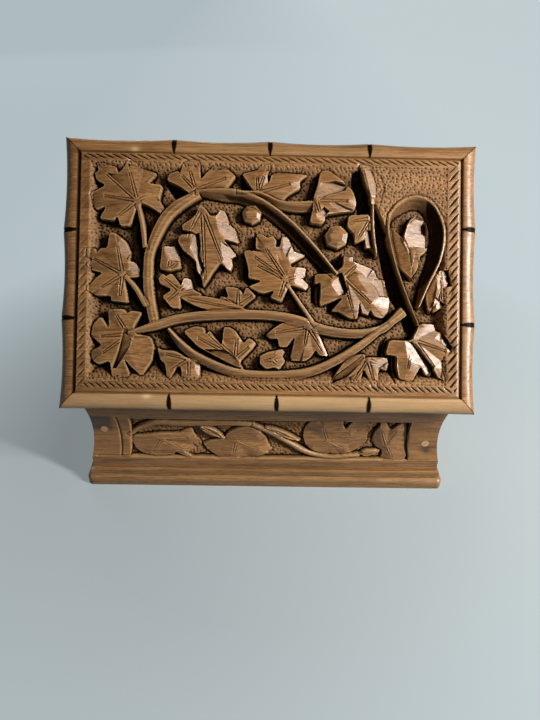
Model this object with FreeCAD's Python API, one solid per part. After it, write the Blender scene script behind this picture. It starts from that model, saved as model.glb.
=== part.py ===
"""A carved walnut letter box: an upright box with a low coved front and a sloping, deeply carved lid.

Millimetres, +Z up, +X to the right as seen from the front, +Y towards the back.
The origin is the centre of the base board's underside.
"""

import FreeCAD
import Part

import math
import os

Vec = FreeCAD.Vector

# Driving dimensions of the body
BODY_WIDTH = 184.6
BODY_DEPTH = 72.0
FRONT_HEIGHT = 50.0  # front board, from the base board to its sharp top edge
SLOPE_DEG = 52.0  # lid's slope above the horizontal
WALL = 9.5
COVE_DEPTH = 2.6
LOWER_RAIL = 7.5  # plain rail below the cove
UPPER_RAIL = 5.0  # plain rail above the cove

# Base board with its moulded edge
BASE_LIP = 6.0
BASE_STEP = 3.5
BASE_OVERHANG = 3.9
BASE_STEP_OVERHANG = 1.6
BASE_CORNER_RADIUS = 3.0
BASE_NOSING_RADIUS = 2.2

# Lid board
LID_THICKNESS = 9.5
LID_GAP = 0.2  # between the lid's underside and the rims of the body
LID_SIDE_OVERHANG = 7.7
LID_FRONT_OVERHANG = 6.2
LID_BACK_OVERHANG = 8.2
BORDER_WIDTH = 8.2  # jointed-cane border round the lid
ROPE_WIDTH = 4.8  # rope band inside the border
ROPE_DROP = 0.9
GROUND_DEPTH = 6.0  # carved ground below the lid's top
CANE_SWELL = 1.1  # how far the outline dips between two joints of the cane
NOTCH_WIDTH = 2.2
NOTCH_RISE = 0.9  # notch's depth at the border's inner edge
NOTCH_FALL = 4.6  # notch's depth at the border's outer edge

# Where the joints of the cane lie, as shares of each side, from the left or from the front
FRONT_JOINT_SHARES = (0.265, 0.52, 0.74)
BACK_JOINT_SHARES = (0.265, 0.495, 0.735)
LEFT_JOINT_SHARES = (0.33, 0.65)
RIGHT_JOINT_SHARES = (0.33, 0.68)

# Rolled edge of the border: share of the roll's width in from the edge, share of the thickness up
ROLL_WIDTH = 4.4
ROLL_SHARES = ((0.34, 0.0), (0.03, 0.2), (0.03, 0.56), (0.3, 0.86), (1.0, 1.0))

# Brass butt hinges
HINGE_LENGTH = 26.0
HINGE_INSET = 23.3  # from the body's side to the hinge's outer end
LEAF_THICKNESS = 1.0
LEAF_WIDTH = 14.0  # from the pin's axis to the leaf's free edge
KNUCKLE_RADIUS = 1.8
PIN_RADIUS = 0.8
PIN_CLEARANCE = 0.05
KNUCKLE_GAP = 0.2
KNUCKLE_ROOM = 0.35  # between a knuckle and the wood round it
MORTISE_ROOM = 0.1
BACK_CLEARANCE = 0.25  # between a knuckle and the back board

# Hinge screws, two to a leaf
SCREW_RADIUS = 0.9
SCREW_HEAD_RADIUS = 1.7
SCREW_LENGTH = 4.6
SCREW_SPACING = 15.0
SCREW_SIDES = 10
BACK_SCREW_EDGE = 2.4  # from the leaf's free edge, clear of the back board's face
LID_SCREW_EDGE = 8.0  # from the leaf's free edge, under the thick rope band

# Square cut nails and the filler over their heads
NAIL_WIDTH = 1.3
NAIL_HEAD_WIDTH = 2.6
NAIL_HEAD_HEIGHT = 0.8
NAIL_LENGTH = 20.0
PLUG_DEPTH = 1.2
PLUG_RADIUS = 1.9
FRONT_NAIL_INSET = 8.4  # from the body's side
LEFT_NAIL_SHARE = 0.51  # front nails, share of the front board's height
RIGHT_NAIL_SHARE = 0.374
BACK_NAIL_SHARES = (0.25, 0.9)  # of the sides' height where the back nails end
BASE_NAIL_SHARE = 0.65  # of the body's width, between the nails under the front and under the back

# Relief of the lid: each leaf's heart, then the tips of its lobes. All places are shares of the lid's width
# and length from its front left corner. A leaf's ridge runs through its heart and its first tip.
LID_LEAF_SHARES = (
    ((0.178, 0.755), (0.078, 0.875), (0.069, 0.79), (0.09, 0.69), (0.143, 0.67), (0.228, 0.72), (0.239, 0.82),
     (0.163, 0.915)),
    ((0.148, 0.496), (0.064, 0.584), (0.061, 0.527), (0.06, 0.437), (0.145, 0.39), (0.188, 0.52),
     (0.125, 0.647)),
    ((0.168, 0.267), (0.082, 0.191), (0.129, 0.118), (0.199, 0.128), (0.228, 0.233), (0.196, 0.362),
     (0.119, 0.365), (0.075, 0.294)),
    ((0.322, 0.81), (0.308, 0.912), (0.25, 0.843), (0.33, 0.765), (0.428, 0.885), (0.368, 0.905)),
    ((0.478, 0.812), (0.59, 0.88), (0.482, 0.897), (0.425, 0.859), (0.455, 0.775), (0.531, 0.77),
     (0.57, 0.82)),
    ((0.63, 0.775), (0.688, 0.847), (0.618, 0.888), (0.602, 0.765), (0.62, 0.706), (0.668, 0.719),
     (0.699, 0.771)),
    ((0.35, 0.634), (0.345, 0.452), (0.311, 0.55), (0.28, 0.622), (0.288, 0.672), (0.325, 0.763),
     (0.398, 0.737), (0.428, 0.618), (0.398, 0.504)),
    ((0.52, 0.527), (0.462, 0.641), (0.434, 0.588), (0.447, 0.449), (0.522, 0.401), (0.588, 0.449),
     (0.598, 0.504), (0.584, 0.588), (0.53, 0.643)),
    ((0.695, 0.466), (0.768, 0.363), (0.71, 0.34), (0.645, 0.37), (0.61, 0.42), (0.606, 0.504), (0.69, 0.576),
     (0.752, 0.527), (0.784, 0.435)),
    ((0.428, 0.395), (0.395, 0.454), (0.378, 0.412), (0.43, 0.355), (0.47, 0.426), (0.43, 0.45)),
    ((0.4, 0.22), (0.295, 0.29), (0.36, 0.302), (0.4, 0.311), (0.468, 0.266), (0.445, 0.191), (0.42, 0.16)),
    ((0.582, 0.248), (0.492, 0.29), (0.53, 0.32), (0.612, 0.309), (0.641, 0.208), (0.602, 0.185),
     (0.552, 0.187)),
    ((0.508, 0.191), (0.52, 0.23), (0.475, 0.206), (0.5, 0.156), (0.541, 0.176)),
    ((0.295, 0.18), (0.231, 0.228), (0.25, 0.141), (0.288, 0.118), (0.332, 0.122), (0.332, 0.182)),
    ((0.738, 0.166), (0.72, 0.118), (0.698, 0.168), (0.745, 0.21), (0.786, 0.176), (0.76, 0.118)),
    ((0.855, 0.244), (0.92, 0.13), (0.842, 0.118), (0.785, 0.248), (0.862, 0.324), (0.9, 0.328),
     (0.925, 0.225)),
    ((0.74, 0.672), (0.754, 0.569), (0.732, 0.599), (0.708, 0.641), (0.698, 0.706), (0.752, 0.733)),
    ((0.912, 0.443), (0.905, 0.525), (0.925, 0.473), (0.922, 0.389), (0.898, 0.359)),
    ((0.26, 0.561), (0.281, 0.599), (0.239, 0.599), (0.24, 0.518), (0.284, 0.523)),
    ((0.28, 0.431), (0.302, 0.487), (0.238, 0.489), (0.239, 0.397), (0.28, 0.373), (0.32, 0.427)),
    ((0.845, 0.635), (0.84, 0.725), (0.81, 0.655), (0.84, 0.545), (0.87, 0.6), (0.875, 0.67)),
)
# Single blades from root to tip
LID_BLADE_SHARES = (
    ((0.286, 0.414), (0.462, 0.365)),
    ((0.729, 0.207), (0.645, 0.12)),
    ((0.705, 0.88), (0.752, 0.735)),
    ((0.784, 0.69), (0.843, 0.492)),
    ((0.898, 0.51), (0.873, 0.363)),
)
LID_BERRY_SHARES = ((0.452, 0.722), (0.657, 0.641))
# Vines, each a run of points joined by arcs: the left arch with its long fall, the wave and the lower bow
LID_VINE_SHARES = (
    ((0.227, 0.325), (0.207, 0.42), (0.2, 0.51), (0.21, 0.6), (0.24, 0.7), (0.28, 0.76), (0.33, 0.797),
     (0.38, 0.805), (0.43, 0.8), (0.478, 0.772), (0.53, 0.71), (0.59, 0.62), (0.655, 0.515)),
    ((0.176, 0.28), (0.24, 0.32), (0.32, 0.345), (0.4, 0.357), (0.48, 0.36), (0.55, 0.345), (0.61, 0.32),
     (0.67, 0.295), (0.73, 0.295), (0.78, 0.33), (0.82, 0.372)),
    ((0.262, 0.285), (0.3, 0.232), (0.35, 0.178), (0.41, 0.147), (0.47, 0.135), (0.57, 0.15), (0.67, 0.2),
     (0.73, 0.255), (0.775, 0.315)),
)
# Thinner stalks: the loop on the right, and short ones that carry leaves
LID_STALK_SHARES = (
    ((0.856, 0.335), (0.84, 0.385), (0.82, 0.47), (0.8, 0.56), (0.788, 0.63), (0.783, 0.7), (0.79, 0.75),
     (0.81, 0.785), (0.845, 0.8), (0.885, 0.775), (0.91, 0.73), (0.917, 0.66), (0.91, 0.57), (0.89, 0.485),
     (0.858, 0.395)),
    ((0.46, 0.79), (0.53, 0.76), (0.605, 0.757)),
    ((0.61, 0.322), (0.575, 0.395), (0.543, 0.472)),
    ((0.18, 0.75), (0.19, 0.7), (0.2, 0.62)),
    ((0.155, 0.48), (0.175, 0.44), (0.205, 0.385)),
)
# The ground that stands high in the upper right corner, round the loop
LID_PLATEAU_SHARES = (
    (0.73, 0.91), (0.94, 0.91), (0.94, 0.35), (0.925, 0.35), (0.918, 0.68), (0.89, 0.775), (0.845, 0.8),
    (0.8, 0.765), (0.782, 0.695), (0.778, 0.655), (0.748, 0.77), (0.75, 0.84),
)
PLATEAU_HEIGHT = 4.9  # above the ground
VINE_WIDTH = 4.8
STALK_WIDTH = 2.4
VINE_HEIGHT = 5.5  # above the ground
LEAF_CREST = 5.1  # ridge of a leaf above the ground
LEAF_PITCH_DEG = 7.0  # fall from the ridge to both sides
BLADE_WIDTH = 7.0
BERRY_RADIUS = 5.0
BERRY_TOP_SHARE = 0.55
BERRY_SIDES = 9
RELIEF_ROOT = 1.0  # how deep the relief is let into the wood below the ground
LOBE_NOTCH_SHARE = 0.58  # how far out the notch between two lobes lies
LOBE_SHOULDER_SHARE = 0.13  # from a lobe's tip towards the next
LOBE_REACH_SHARE = 1.1

# Relief of the front panel, as shares of the body's width and of the front board's height
PANEL_WIDTH_SHARES = (0.1, 0.915)
PANEL_HEIGHT_SHARES = (0.155, 0.667)
PANEL_DEPTH = 2.0  # ground below the cove
FRONT_LEAF_SHARES = (
    ((0.206, 0.3), (0.11, 0.37), (0.14, 0.19), (0.233, 0.176), (0.317, 0.2), (0.287, 0.49), (0.18, 0.44)),
    ((0.412, 0.32), (0.314, 0.31), (0.358, 0.156), (0.466, 0.152), (0.517, 0.24), (0.466, 0.556),
     (0.385, 0.47)),
    ((0.693, 0.42), (0.606, 0.42), (0.628, 0.66), (0.72, 0.66), (0.818, 0.63), (0.791, 0.35), (0.72, 0.21),
     (0.623, 0.28)),
    ((0.861, 0.36), (0.823, 0.65), (0.899, 0.64), (0.911, 0.44), (0.911, 0.16), (0.832, 0.156),
     (0.807, 0.37)),
)
FRONT_BLADE_SHARES = (
    ((0.309, 0.55), (0.376, 0.4)), ((0.493, 0.55), (0.599, 0.37)), ((0.769, 0.21), (0.832, 0.264)),
)
FRONT_VINE_SHARES = (
    (0.106, 0.44), (0.141, 0.55), (0.184, 0.6), (0.26, 0.595), (0.34, 0.59), (0.41, 0.585), (0.466, 0.555),
    (0.515, 0.46), (0.563, 0.35), (0.607, 0.25), (0.65, 0.196), (0.71, 0.18), (0.77, 0.2),
)
FRONT_VINE_WIDTH = 3.6

OVERRUN = 5.0  # every cutting tool runs past the wood by this much

# Places that follow from the sizes above
BASE_HEIGHT = BASE_LIP + BASE_STEP
SLOPE = math.radians(SLOPE_DEG)
FRONT_Y = -BODY_DEPTH / 2
BACK_Y = BODY_DEPTH / 2
FRONT_TOP = BASE_HEIGHT + FRONT_HEIGHT
BACK_TOP = FRONT_TOP + BODY_DEPTH * math.tan(SLOPE)
RIM_LENGTH = BODY_DEPTH / math.cos(SLOPE)
LID_WIDTH = BODY_WIDTH + 2 * LID_SIDE_OVERHANG
LID_FRONT = -LID_FRONT_OVERHANG
LID_BACK = RIM_LENGTH + LID_BACK_OVERHANG
LID_TOP = LID_GAP + LID_THICKNESS
PIN_V = RIM_LENGTH + (KNUCKLE_RADIUS + BACK_CLEARANCE) / math.cos(SLOPE)
PIN_N = LID_GAP / 2
SIDE_NAIL_X = BODY_WIDTH / 2 - FRONT_NAIL_INSET
GROUND_N = LID_TOP - GROUND_DEPTH
LEAF_PITCH = math.tan(math.radians(LEAF_PITCH_DEG))
UP = Vec(0, 0, 1)


def on_slope(shape):
    """Carries a shape from the lid's flat frame (x, up the slope, off the slope) to its place on the body."""
    shape.rotate(Vec(0, 0, 0), Vec(1, 0, 0), SLOPE_DEG)
    shape.translate(Vec(0, FRONT_Y, FRONT_TOP))
    return shape


def block(x0, x1, y0, y1, z0, z1):
    """A box between two corners."""
    return Part.makeBox(x1 - x0, y1 - y0, z1 - z0, Vec(x0, y0, z0))


def prism(points, direction):
    """A closed outline of points, pushed along a direction."""
    return Part.Face(Part.makePolygon(points + points[:1])).extrude(direction)


def tapered(start, start_radius, end, end_radius, sides):
    """A bar with flat sides between two points one above the other, from one radius to another."""
    turns = [2 * math.pi * i / sides for i in range(sides + 1)]
    ring = [Vec(math.cos(t), math.sin(t), 0) for t in turns]
    low = [start + p * start_radius for p in ring]
    high = [end + p * end_radius for p in ring]
    rings = [low, high] + [[low[i], low[i + 1], high[i + 1], high[i], low[i]] for i in range(sides)]
    return Part.makeSolid(Part.makeShell([Part.Face(Part.makePolygon(r)) for r in rings]))


def hollow_depth(height):
    """How deep the front's hollow is at a height above the base board, on an arc between the two rails."""
    half_chord = (FRONT_HEIGHT - LOWER_RAIL - UPPER_RAIL) / 2
    radius = (half_chord**2 + COVE_DEPTH**2) / (2 * COVE_DEPTH)
    off_centre = height - LOWER_RAIL - half_chord
    return COVE_DEPTH - radius + math.sqrt(radius**2 - off_centre**2)


def front_hollow():
    """What the hollow takes from the front: an arc between the rails, along the whole width."""
    half = BODY_WIDTH / 2 + OVERRUN
    low = Vec(-half, FRONT_Y, BASE_HEIGHT + LOWER_RAIL)
    high = Vec(-half, FRONT_Y, FRONT_TOP - UPPER_RAIL)
    deep = Vec(-half, FRONT_Y + COVE_DEPTH, (low.z + high.z) / 2)
    section = Part.Wire([Part.Arc(low, deep, high).toShape(), Part.LineSegment(high, low).toShape()])
    return Part.Face(section).extrude(Vec(2 * half, 0, 0))


def half_hollow(x_sign, rail, limit, run):
    """Half of a side's hollow: its section turns from a rail to the full depth and runs on to a limit."""
    middle = (LOWER_RAIL + FRONT_HEIGHT - UPPER_RAIL) / 2
    between = (rail + middle) / 2
    turn = [(0, rail), (hollow_depth(between), between), (COVE_DEPTH, middle)]
    rest = [(COVE_DEPTH, limit), (-OVERRUN, limit), (-OVERRUN, rail)]
    half = BODY_WIDTH / 2
    a, b, c, *others = [Vec(x_sign * (half - d), FRONT_Y, BASE_HEIGHT + h) for d, h in turn + rest]
    section = Part.Wire([Part.Arc(a, b, c).toShape()] + Part.makePolygon([c] + others + [a]).Edges)
    past = run * (OVERRUN / BODY_DEPTH)
    section.translate(-past)
    return Part.Face(section).extrude(run + past * 2)


def side_hollow(x_sign):
    """What the hollow takes from one side: flat, rounded up to a level lower and a sloping upper rail."""
    level, sloping = Vec(0, BODY_DEPTH, 0), Vec(0, BODY_DEPTH, BACK_TOP - FRONT_TOP)
    lower = half_hollow(x_sign, LOWER_RAIL, BACK_TOP, level)
    return lower.common(half_hollow(x_sign, FRONT_HEIGHT - UPPER_RAIL, -BACK_TOP, sloping))


def body_envelope():
    """The body's outside: a wedge from the low front to the tall back, hollowed on front and sides."""
    half = BODY_WIDTH / 2
    low = [Vec(-half, FRONT_Y, BASE_HEIGHT), Vec(-half, BACK_Y, BASE_HEIGHT)]
    high = [Vec(-half, BACK_Y, BACK_TOP), Vec(-half, FRONT_Y, FRONT_TOP)]
    wedge = prism(low + high, Vec(BODY_WIDTH, 0, 0))
    return wedge.cut([front_hollow(), side_hollow(-1), side_hollow(1)])


def inside_block(y0, y1):
    """A tall block as wide as the box inside, for parting the side boards from each other."""
    half = BODY_WIDTH / 2 - WALL
    return block(-half, half, y0, y1, BASE_HEIGHT - OVERRUN, BACK_TOP + OVERRUN)


def slab(y0, y1):
    """A slab across the whole body between two depths."""
    half = BODY_WIDTH / 2 + OVERRUN
    return block(-half, half, y0, y1, BASE_HEIGHT - OVERRUN, BACK_TOP + OVERRUN)


def base_board():
    """One board: a stepped ledge under the body over a lip with rounded corners and a rounded top edge."""
    half_x = BODY_WIDTH / 2 + BASE_OVERHANG
    half_y = BODY_DEPTH / 2 + BASE_OVERHANG
    lip = block(-half_x, half_x, -half_y, half_y, 0, BASE_LIP)
    corners = [e for e in lip.Edges if abs(e.tangentAt(e.FirstParameter).z) > 0.9]
    lip = lip.makeFillet(BASE_CORNER_RADIUS, corners)
    top = [e for e in lip.Edges if min(v.Z for v in e.Vertexes) > BASE_LIP / 2]
    lip = lip.makeFillet(min(BASE_NOSING_RADIUS, BASE_LIP / 2), top)
    step_x = BODY_WIDTH / 2 + BASE_STEP_OVERHANG
    step_y = BODY_DEPTH / 2 + BASE_STEP_OVERHANG
    step = block(-step_x, step_x, -step_y, step_y, 0, BASE_HEIGHT)
    return lip.fuse(step).removeSplitter()


def cane_side(start, end, shares, inward):
    """One side of the lid's outline: shallow arcs between the joints of the cane, dipping inwards."""
    stops = [0.0] + list(shares) + [1.0]
    edges = []
    for low, high in zip(stops, stops[1:]):
        a = start + (end - start) * low
        b = start + (end - start) * high
        edges.append(Part.Arc(a, (a + b) * 0.5 + inward * CANE_SWELL, b).toShape())
    return edges


def lid_outline(inset, n):
    """The lid's wavy outline, drawn in from its full size by inset, at height n off the slope."""
    x0, x1 = -LID_WIDTH / 2 + inset, LID_WIDTH / 2 - inset
    v0, v1 = LID_FRONT + inset, LID_BACK - inset
    fl, fr, br, bl = Vec(x0, v0, n), Vec(x1, v0, n), Vec(x1, v1, n), Vec(x0, v1, n)
    edges = cane_side(fl, fr, FRONT_JOINT_SHARES, Vec(0, 1, 0))
    edges += cane_side(fr, br, RIGHT_JOINT_SHARES, Vec(-1, 0, 0))
    edges += cane_side(br, bl, [1 - s for s in reversed(BACK_JOINT_SHARES)], Vec(0, -1, 0))
    edges += cane_side(bl, fl, [1 - s for s in reversed(LEFT_JOINT_SHARES)], Vec(1, 0, 0))
    return Part.Wire(edges)


def cane_notch(x, v, outward):
    """A V-cut across the border at a joint of the cane, deeper towards the edge."""
    along = Vec(-outward.y, outward.x, 0)
    reach = BORDER_WIDTH + OVERRUN
    drop = (NOTCH_FALL - NOTCH_RISE) / BORDER_WIDTH
    start = Vec(x, v, LID_TOP) - outward * BORDER_WIDTH
    side = along * (NOTCH_WIDTH / 2)
    mouth = UP * (NOTCH_FALL + OVERRUN - NOTCH_RISE)
    near = [start - UP * NOTCH_RISE, start + side, start + side + mouth, start - side + mouth, start - side]
    return prism(near, (outward - UP * drop) * reach)


def lid_notches():
    """The V-cuts of all four sides."""
    half = LID_WIDTH / 2
    length = LID_BACK - LID_FRONT
    cuts = [cane_notch(-half + LID_WIDTH * s, LID_FRONT, Vec(0, -1, 0)) for s in FRONT_JOINT_SHARES]
    cuts += [cane_notch(-half + LID_WIDTH * s, LID_BACK, Vec(0, 1, 0)) for s in BACK_JOINT_SHARES]
    cuts += [cane_notch(-half, LID_FRONT + length * s, Vec(-1, 0, 0)) for s in LEFT_JOINT_SHARES]
    cuts += [cane_notch(half, LID_FRONT + length * s, Vec(1, 0, 0)) for s in RIGHT_JOINT_SHARES]
    return cuts


def field_cut(inset, depth):
    """A sunk rectangle of the lid's face, inset from the outline."""
    half = LID_WIDTH / 2 - inset
    return block(-half, half, LID_FRONT + inset, LID_BACK - inset, LID_TOP - depth, LID_TOP + OVERRUN)


def lid_point(share):
    """A place on the lid's ground, given as shares of its width and length."""
    x = LID_WIDTH * (share[0] - 0.5)
    return Vec(x, LID_FRONT + (LID_BACK - LID_FRONT) * share[1], GROUND_N)


def lobed_outline(heart, tips):
    """A leaf's closed outline: each lobe ends bluntly between two shoulders, with a notch after it."""
    around = sorted((t - heart for t in tips), key=lambda t: math.atan2(t.y, t.x))
    points = []
    for tip, after in zip(around, around[1:] + around[:1]):
        step = (after - tip) * LOBE_SHOULDER_SHARE
        points += [tip + step, (tip + after) * (LOBE_NOTCH_SHARE / 2), after - step]
    return Part.makePolygon([heart + p for p in points + points[:1]])


def blade_outline(root, tip):
    """A slim leaf's outline: two arcs that meet in points."""
    along = tip - root
    bulge = UP.cross(along).normalize() * (BLADE_WIDTH / 2)
    middle = (root + tip) * 0.5
    arcs = [Part.Arc(root, middle + bulge, tip), Part.Arc(tip, middle - bulge, root)]
    return Part.Wire([a.toShape() for a in arcs])


def ridged(outline, heart, tip, reach):
    """A solid leaf over an outline: a roof whose ridge runs from the heart to the tip, cut to the outline."""
    ridge = (tip - heart).normalize()
    across = UP.cross(ridge) * reach
    root = UP * RELIEF_ROOT
    start = heart - ridge * reach
    eaves = UP * (LEAF_CREST - reach * LEAF_PITCH)
    gable = [start - across - root, start + across - root, start + across + eaves, start + UP * LEAF_CREST]
    roof = prism(gable + [start - across + eaves], ridge * (2 * reach))
    outline.translate(-root)
    return Part.Face(outline).extrude(UP * (LEAF_CREST + RELIEF_ROOT)).common(roof)


def lid_leaf(shares):
    """One lobed leaf of the lid."""
    heart, *tips = [lid_point(s) for s in shares]
    reach = max((t - heart).Length for t in tips) * LOBE_REACH_SHARE
    return ridged(lobed_outline(heart, tips), heart, tips[0], reach)


def lid_blade(shares):
    """One slim blade of the lid."""
    root, tip = [lid_point(s) for s in shares]
    return ridged(blade_outline(root, tip), root, tip, (tip - root).Length * LOBE_REACH_SHARE)


def arcs_through(points):
    """Round arcs through a run of points, three points to an arc."""
    return [Part.Arc(a, b, c).toShape() for a, b, c in zip(points[::2], points[1::2], points[2::2])]


def ribbon(points, width, direction):
    """A band of even width along a run of points, pushed along a direction square to them."""
    square = Vec(direction).normalize()
    before, after = points[:1] + points[:-1], points[1:] + points[-1:]
    sides = [square.cross(b - a).normalize() * (width / 2) for a, b in zip(before, after)]
    left = [p + s for p, s in zip(points, sides)]
    right = [p - s for p, s in zip(points, sides)]
    ends = [Part.LineSegment(right[i], left[i]).toShape() for i in (0, -1)]
    edges = arcs_through(left) + arcs_through(right) + ends
    return Part.Face(Part.Wire(Part.__sortEdges__(edges))).extrude(direction)


def lid_ribbon(shares, width):
    """A vine or stalk of the lid, flat on top."""
    points = [lid_point(s) - UP * RELIEF_ROOT for s in shares]
    return ribbon(points, width, UP * (VINE_HEIGHT + RELIEF_ROOT))


def lid_berry(share):
    """A berry of the lid: a blunt cone cut with flat sides."""
    ground = lid_point(share)
    top_radius = BERRY_RADIUS * BERRY_TOP_SHARE
    return tapered(ground - UP * RELIEF_ROOT, BERRY_RADIUS, ground + UP * LEAF_CREST, top_radius, BERRY_SIDES)


def lid_plateau():
    """The high ground in the lid's upper right corner."""
    points = [lid_point(s) - UP * RELIEF_ROOT for s in LID_PLATEAU_SHARES]
    return prism(points, UP * (PLATEAU_HEIGHT + RELIEF_ROOT))


def lid_relief():
    """The high ground and every carved leaf, blade, berry, vine and stalk that stands on the lid's ground."""
    carving = [lid_plateau()] + [lid_leaf(s) for s in LID_LEAF_SHARES]
    carving += [lid_blade(s) for s in LID_BLADE_SHARES]
    carving += [lid_berry(s) for s in LID_BERRY_SHARES]
    carving += [lid_ribbon(s, VINE_WIDTH) for s in LID_VINE_SHARES]
    return carving + [lid_ribbon(s, STALK_WIDTH) for s in LID_STALK_SHARES]


def front_point(share):
    """A place before the front board, given as shares of its width and height."""
    return Vec(BODY_WIDTH * (share[0] - 0.5), FRONT_Y - OVERRUN, BASE_HEIGHT + FRONT_HEIGHT * share[1])


def flat_points(shares):
    """Places of the front board laid flat, x across and y up, so that outlines can be drawn on them."""
    return [Vec(p.x, p.z, 0) for p in map(front_point, shares)]


def stood_up(outline):
    """An outline drawn flat, stood up before the front board and pushed back through it."""
    outline.rotate(Vec(0, 0, 0), Vec(1, 0, 0), 90)
    outline.translate(Vec(0, FRONT_Y - OVERRUN, 0))
    return Part.Face(outline).extrude(Vec(0, WALL + OVERRUN, 0))


def front_ground(envelope):
    """What is carved away from the front board: the panel's ground below the cove, round leaves and vine."""
    low, high = [front_point(s) for s in zip(PANEL_WIDTH_SHARES, PANEL_HEIGHT_SHARES)]
    panel = block(low.x, high.x, FRONT_Y, FRONT_Y + WALL, low.z, high.z)
    sunk = envelope.copy()
    sunk.translate(Vec(0, PANEL_DEPTH, 0))
    leaves = [flat_points(s) for s in FRONT_LEAF_SHARES]
    carving = [stood_up(lobed_outline(heart, tips)) for heart, *tips in leaves]
    carving += [stood_up(blade_outline(*flat_points(s))) for s in FRONT_BLADE_SHARES]
    stem = [front_point(s) for s in FRONT_VINE_SHARES]
    return panel.cut([sunk, ribbon(stem, FRONT_VINE_WIDTH, Vec(0, WALL + OVERRUN, 0))] + carving)


def pin_cylinder(radius, start_x, length):
    """A cylinder on the hinge pins' axis, from start_x along X."""
    return Part.makeCylinder(radius, length, Vec(start_x, PIN_V, PIN_N), Vec(1, 0, 0))


def hinge_room(x):
    """What a hinge takes out of the lid's underside: a flat mortise and a round groove for the knuckles."""
    half = HINGE_LENGTH / 2 + MORTISE_ROOM
    v0 = PIN_V - LEAF_WIDTH - MORTISE_ROOM
    mortise = block(x - half, x + half, v0, PIN_V, LID_GAP - OVERRUN, LID_GAP + LEAF_THICKNESS)
    return mortise.fuse(pin_cylinder(KNUCKLE_RADIUS + KNUCKLE_ROOM, x - half, 2 * half))


def lid_board():
    """The lid in its flat frame: rolled and notched border, rope band, carved field and hinge mortises."""
    sections = [lid_outline(i * ROLL_WIDTH, LID_GAP + s * LID_THICKNESS) for i, s in ROLL_SHARES]
    board = Part.makeLoft(sections, True, True)
    board = board.cut(field_cut(BORDER_WIDTH, ROPE_DROP))
    board = board.cut(field_cut(BORDER_WIDTH + ROPE_WIDTH, GROUND_DEPTH))
    board = board.fuse(lid_relief())
    return board.cut(lid_notches() + [hinge_room(x) for x in hinge_places()])


def hinge_places():
    """The hinges' centres along X."""
    x = BODY_WIDTH / 2 - HINGE_INSET - HINGE_LENGTH / 2
    return [-x, x]


def leaf_face(sense):
    """Height off the slope of a hinge leaf's open face: back leaf below the slope, lid leaf above it."""
    return 0 if sense < 0 else LID_GAP


def leaf_screws(x, sense):
    """The two countersunk screws of one leaf, driven off the slope by sense."""
    edge = BACK_SCREW_EDGE if sense < 0 else LID_SCREW_EDGE
    axis = Vec(0, 0, sense)
    taper = SCREW_HEAD_RADIUS - SCREW_RADIUS
    screws = []
    for side in (-1, 1):
        top = Vec(x + side * SCREW_SPACING / 2, PIN_V - LEAF_WIDTH + edge, leaf_face(sense))
        neck = top + axis * taper
        head = tapered(top, SCREW_HEAD_RADIUS, neck, SCREW_RADIUS, SCREW_SIDES)
        shank = tapered(neck, SCREW_RADIUS, top + axis * SCREW_LENGTH, SCREW_RADIUS, SCREW_SIDES)
        screws.append(head.fuse(shank).removeSplitter())
    return screws


def knuckles(x, thirds, radius, room):
    """Barrels on the pin's axis over the given thirds of a hinge's length, longer by room at each end."""
    third = HINGE_LENGTH / 3
    starts = [x - HINGE_LENGTH / 2 + i * third - room for i in thirds]
    return [pin_cylinder(radius, start, third + 2 * room) for start in starts]


def hinge_leaf(x, sense):
    """One leaf of a butt hinge: sense -1 lies in the back board with two knuckles, +1 in the lid with one."""
    own, other = ((0, 2), (1,)) if sense < 0 else ((1,), (0, 2))
    n0, n1 = sorted((leaf_face(sense), leaf_face(sense) + sense * LEAF_THICKNESS))
    half = HINGE_LENGTH / 2
    leaf = block(x - half, x + half, PIN_V - LEAF_WIDTH, PIN_V, n0, n1)
    leaf = leaf.cut(knuckles(x, other, KNUCKLE_RADIUS + KNUCKLE_GAP, KNUCKLE_GAP))
    leaf = leaf.fuse(knuckles(x, own, KNUCKLE_RADIUS, 0))
    bore = pin_cylinder(PIN_RADIUS + PIN_CLEARANCE, x - half - OVERRUN, HINGE_LENGTH + 2 * OVERRUN)
    return leaf.cut([bore] + leaf_screws(x, sense)).removeSplitter()


def hinge_pin(x):
    """The plain pin of a hinge, flush with its outer knuckles."""
    return pin_cylinder(PIN_RADIUS, x - HINGE_LENGTH / 2, HINGE_LENGTH)


def nail(head_point, direction):
    """A square nail with a flat square head, driven along a direction in the YZ plane."""
    a = Vec(0.5, 0, 0)
    b = direction.cross(a)
    square = [-a - b, a - b, a + b, b - a]
    head = prism([head_point + p * NAIL_HEAD_WIDTH for p in square], direction * NAIL_HEAD_HEIGHT)
    shank = prism([head_point + p * NAIL_WIDTH for p in square], direction * NAIL_LENGTH)
    return head.fuse(shank).removeSplitter()


def front_nail_places():
    """Where the two filled front nails sit: x, depth of the face and height."""
    left, right = LEFT_NAIL_SHARE * FRONT_HEIGHT, RIGHT_NAIL_SHARE * FRONT_HEIGHT
    return [
        Vec(-SIDE_NAIL_X, FRONT_Y + hollow_depth(left), BASE_HEIGHT + left),
        Vec(SIDE_NAIL_X, FRONT_Y + hollow_depth(right), BASE_HEIGHT + right),
    ]


def front_nails():
    """Two nails through the front board into the ends of the side boards, set below the surface."""
    back = Vec(0, 1, 0)
    return [nail(p + back * PLUG_DEPTH, back) for p in front_nail_places()]


def nail_plugs(envelope):
    """Filler over the front nails, dressed flush with the hollow face."""
    back = Vec(0, 1, 0)
    length = PLUG_DEPTH + OVERRUN
    starts = [p - back * OVERRUN for p in front_nail_places()]
    return [Part.makeCylinder(PLUG_RADIUS, length, p, back).common(envelope) for p in starts]


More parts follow.
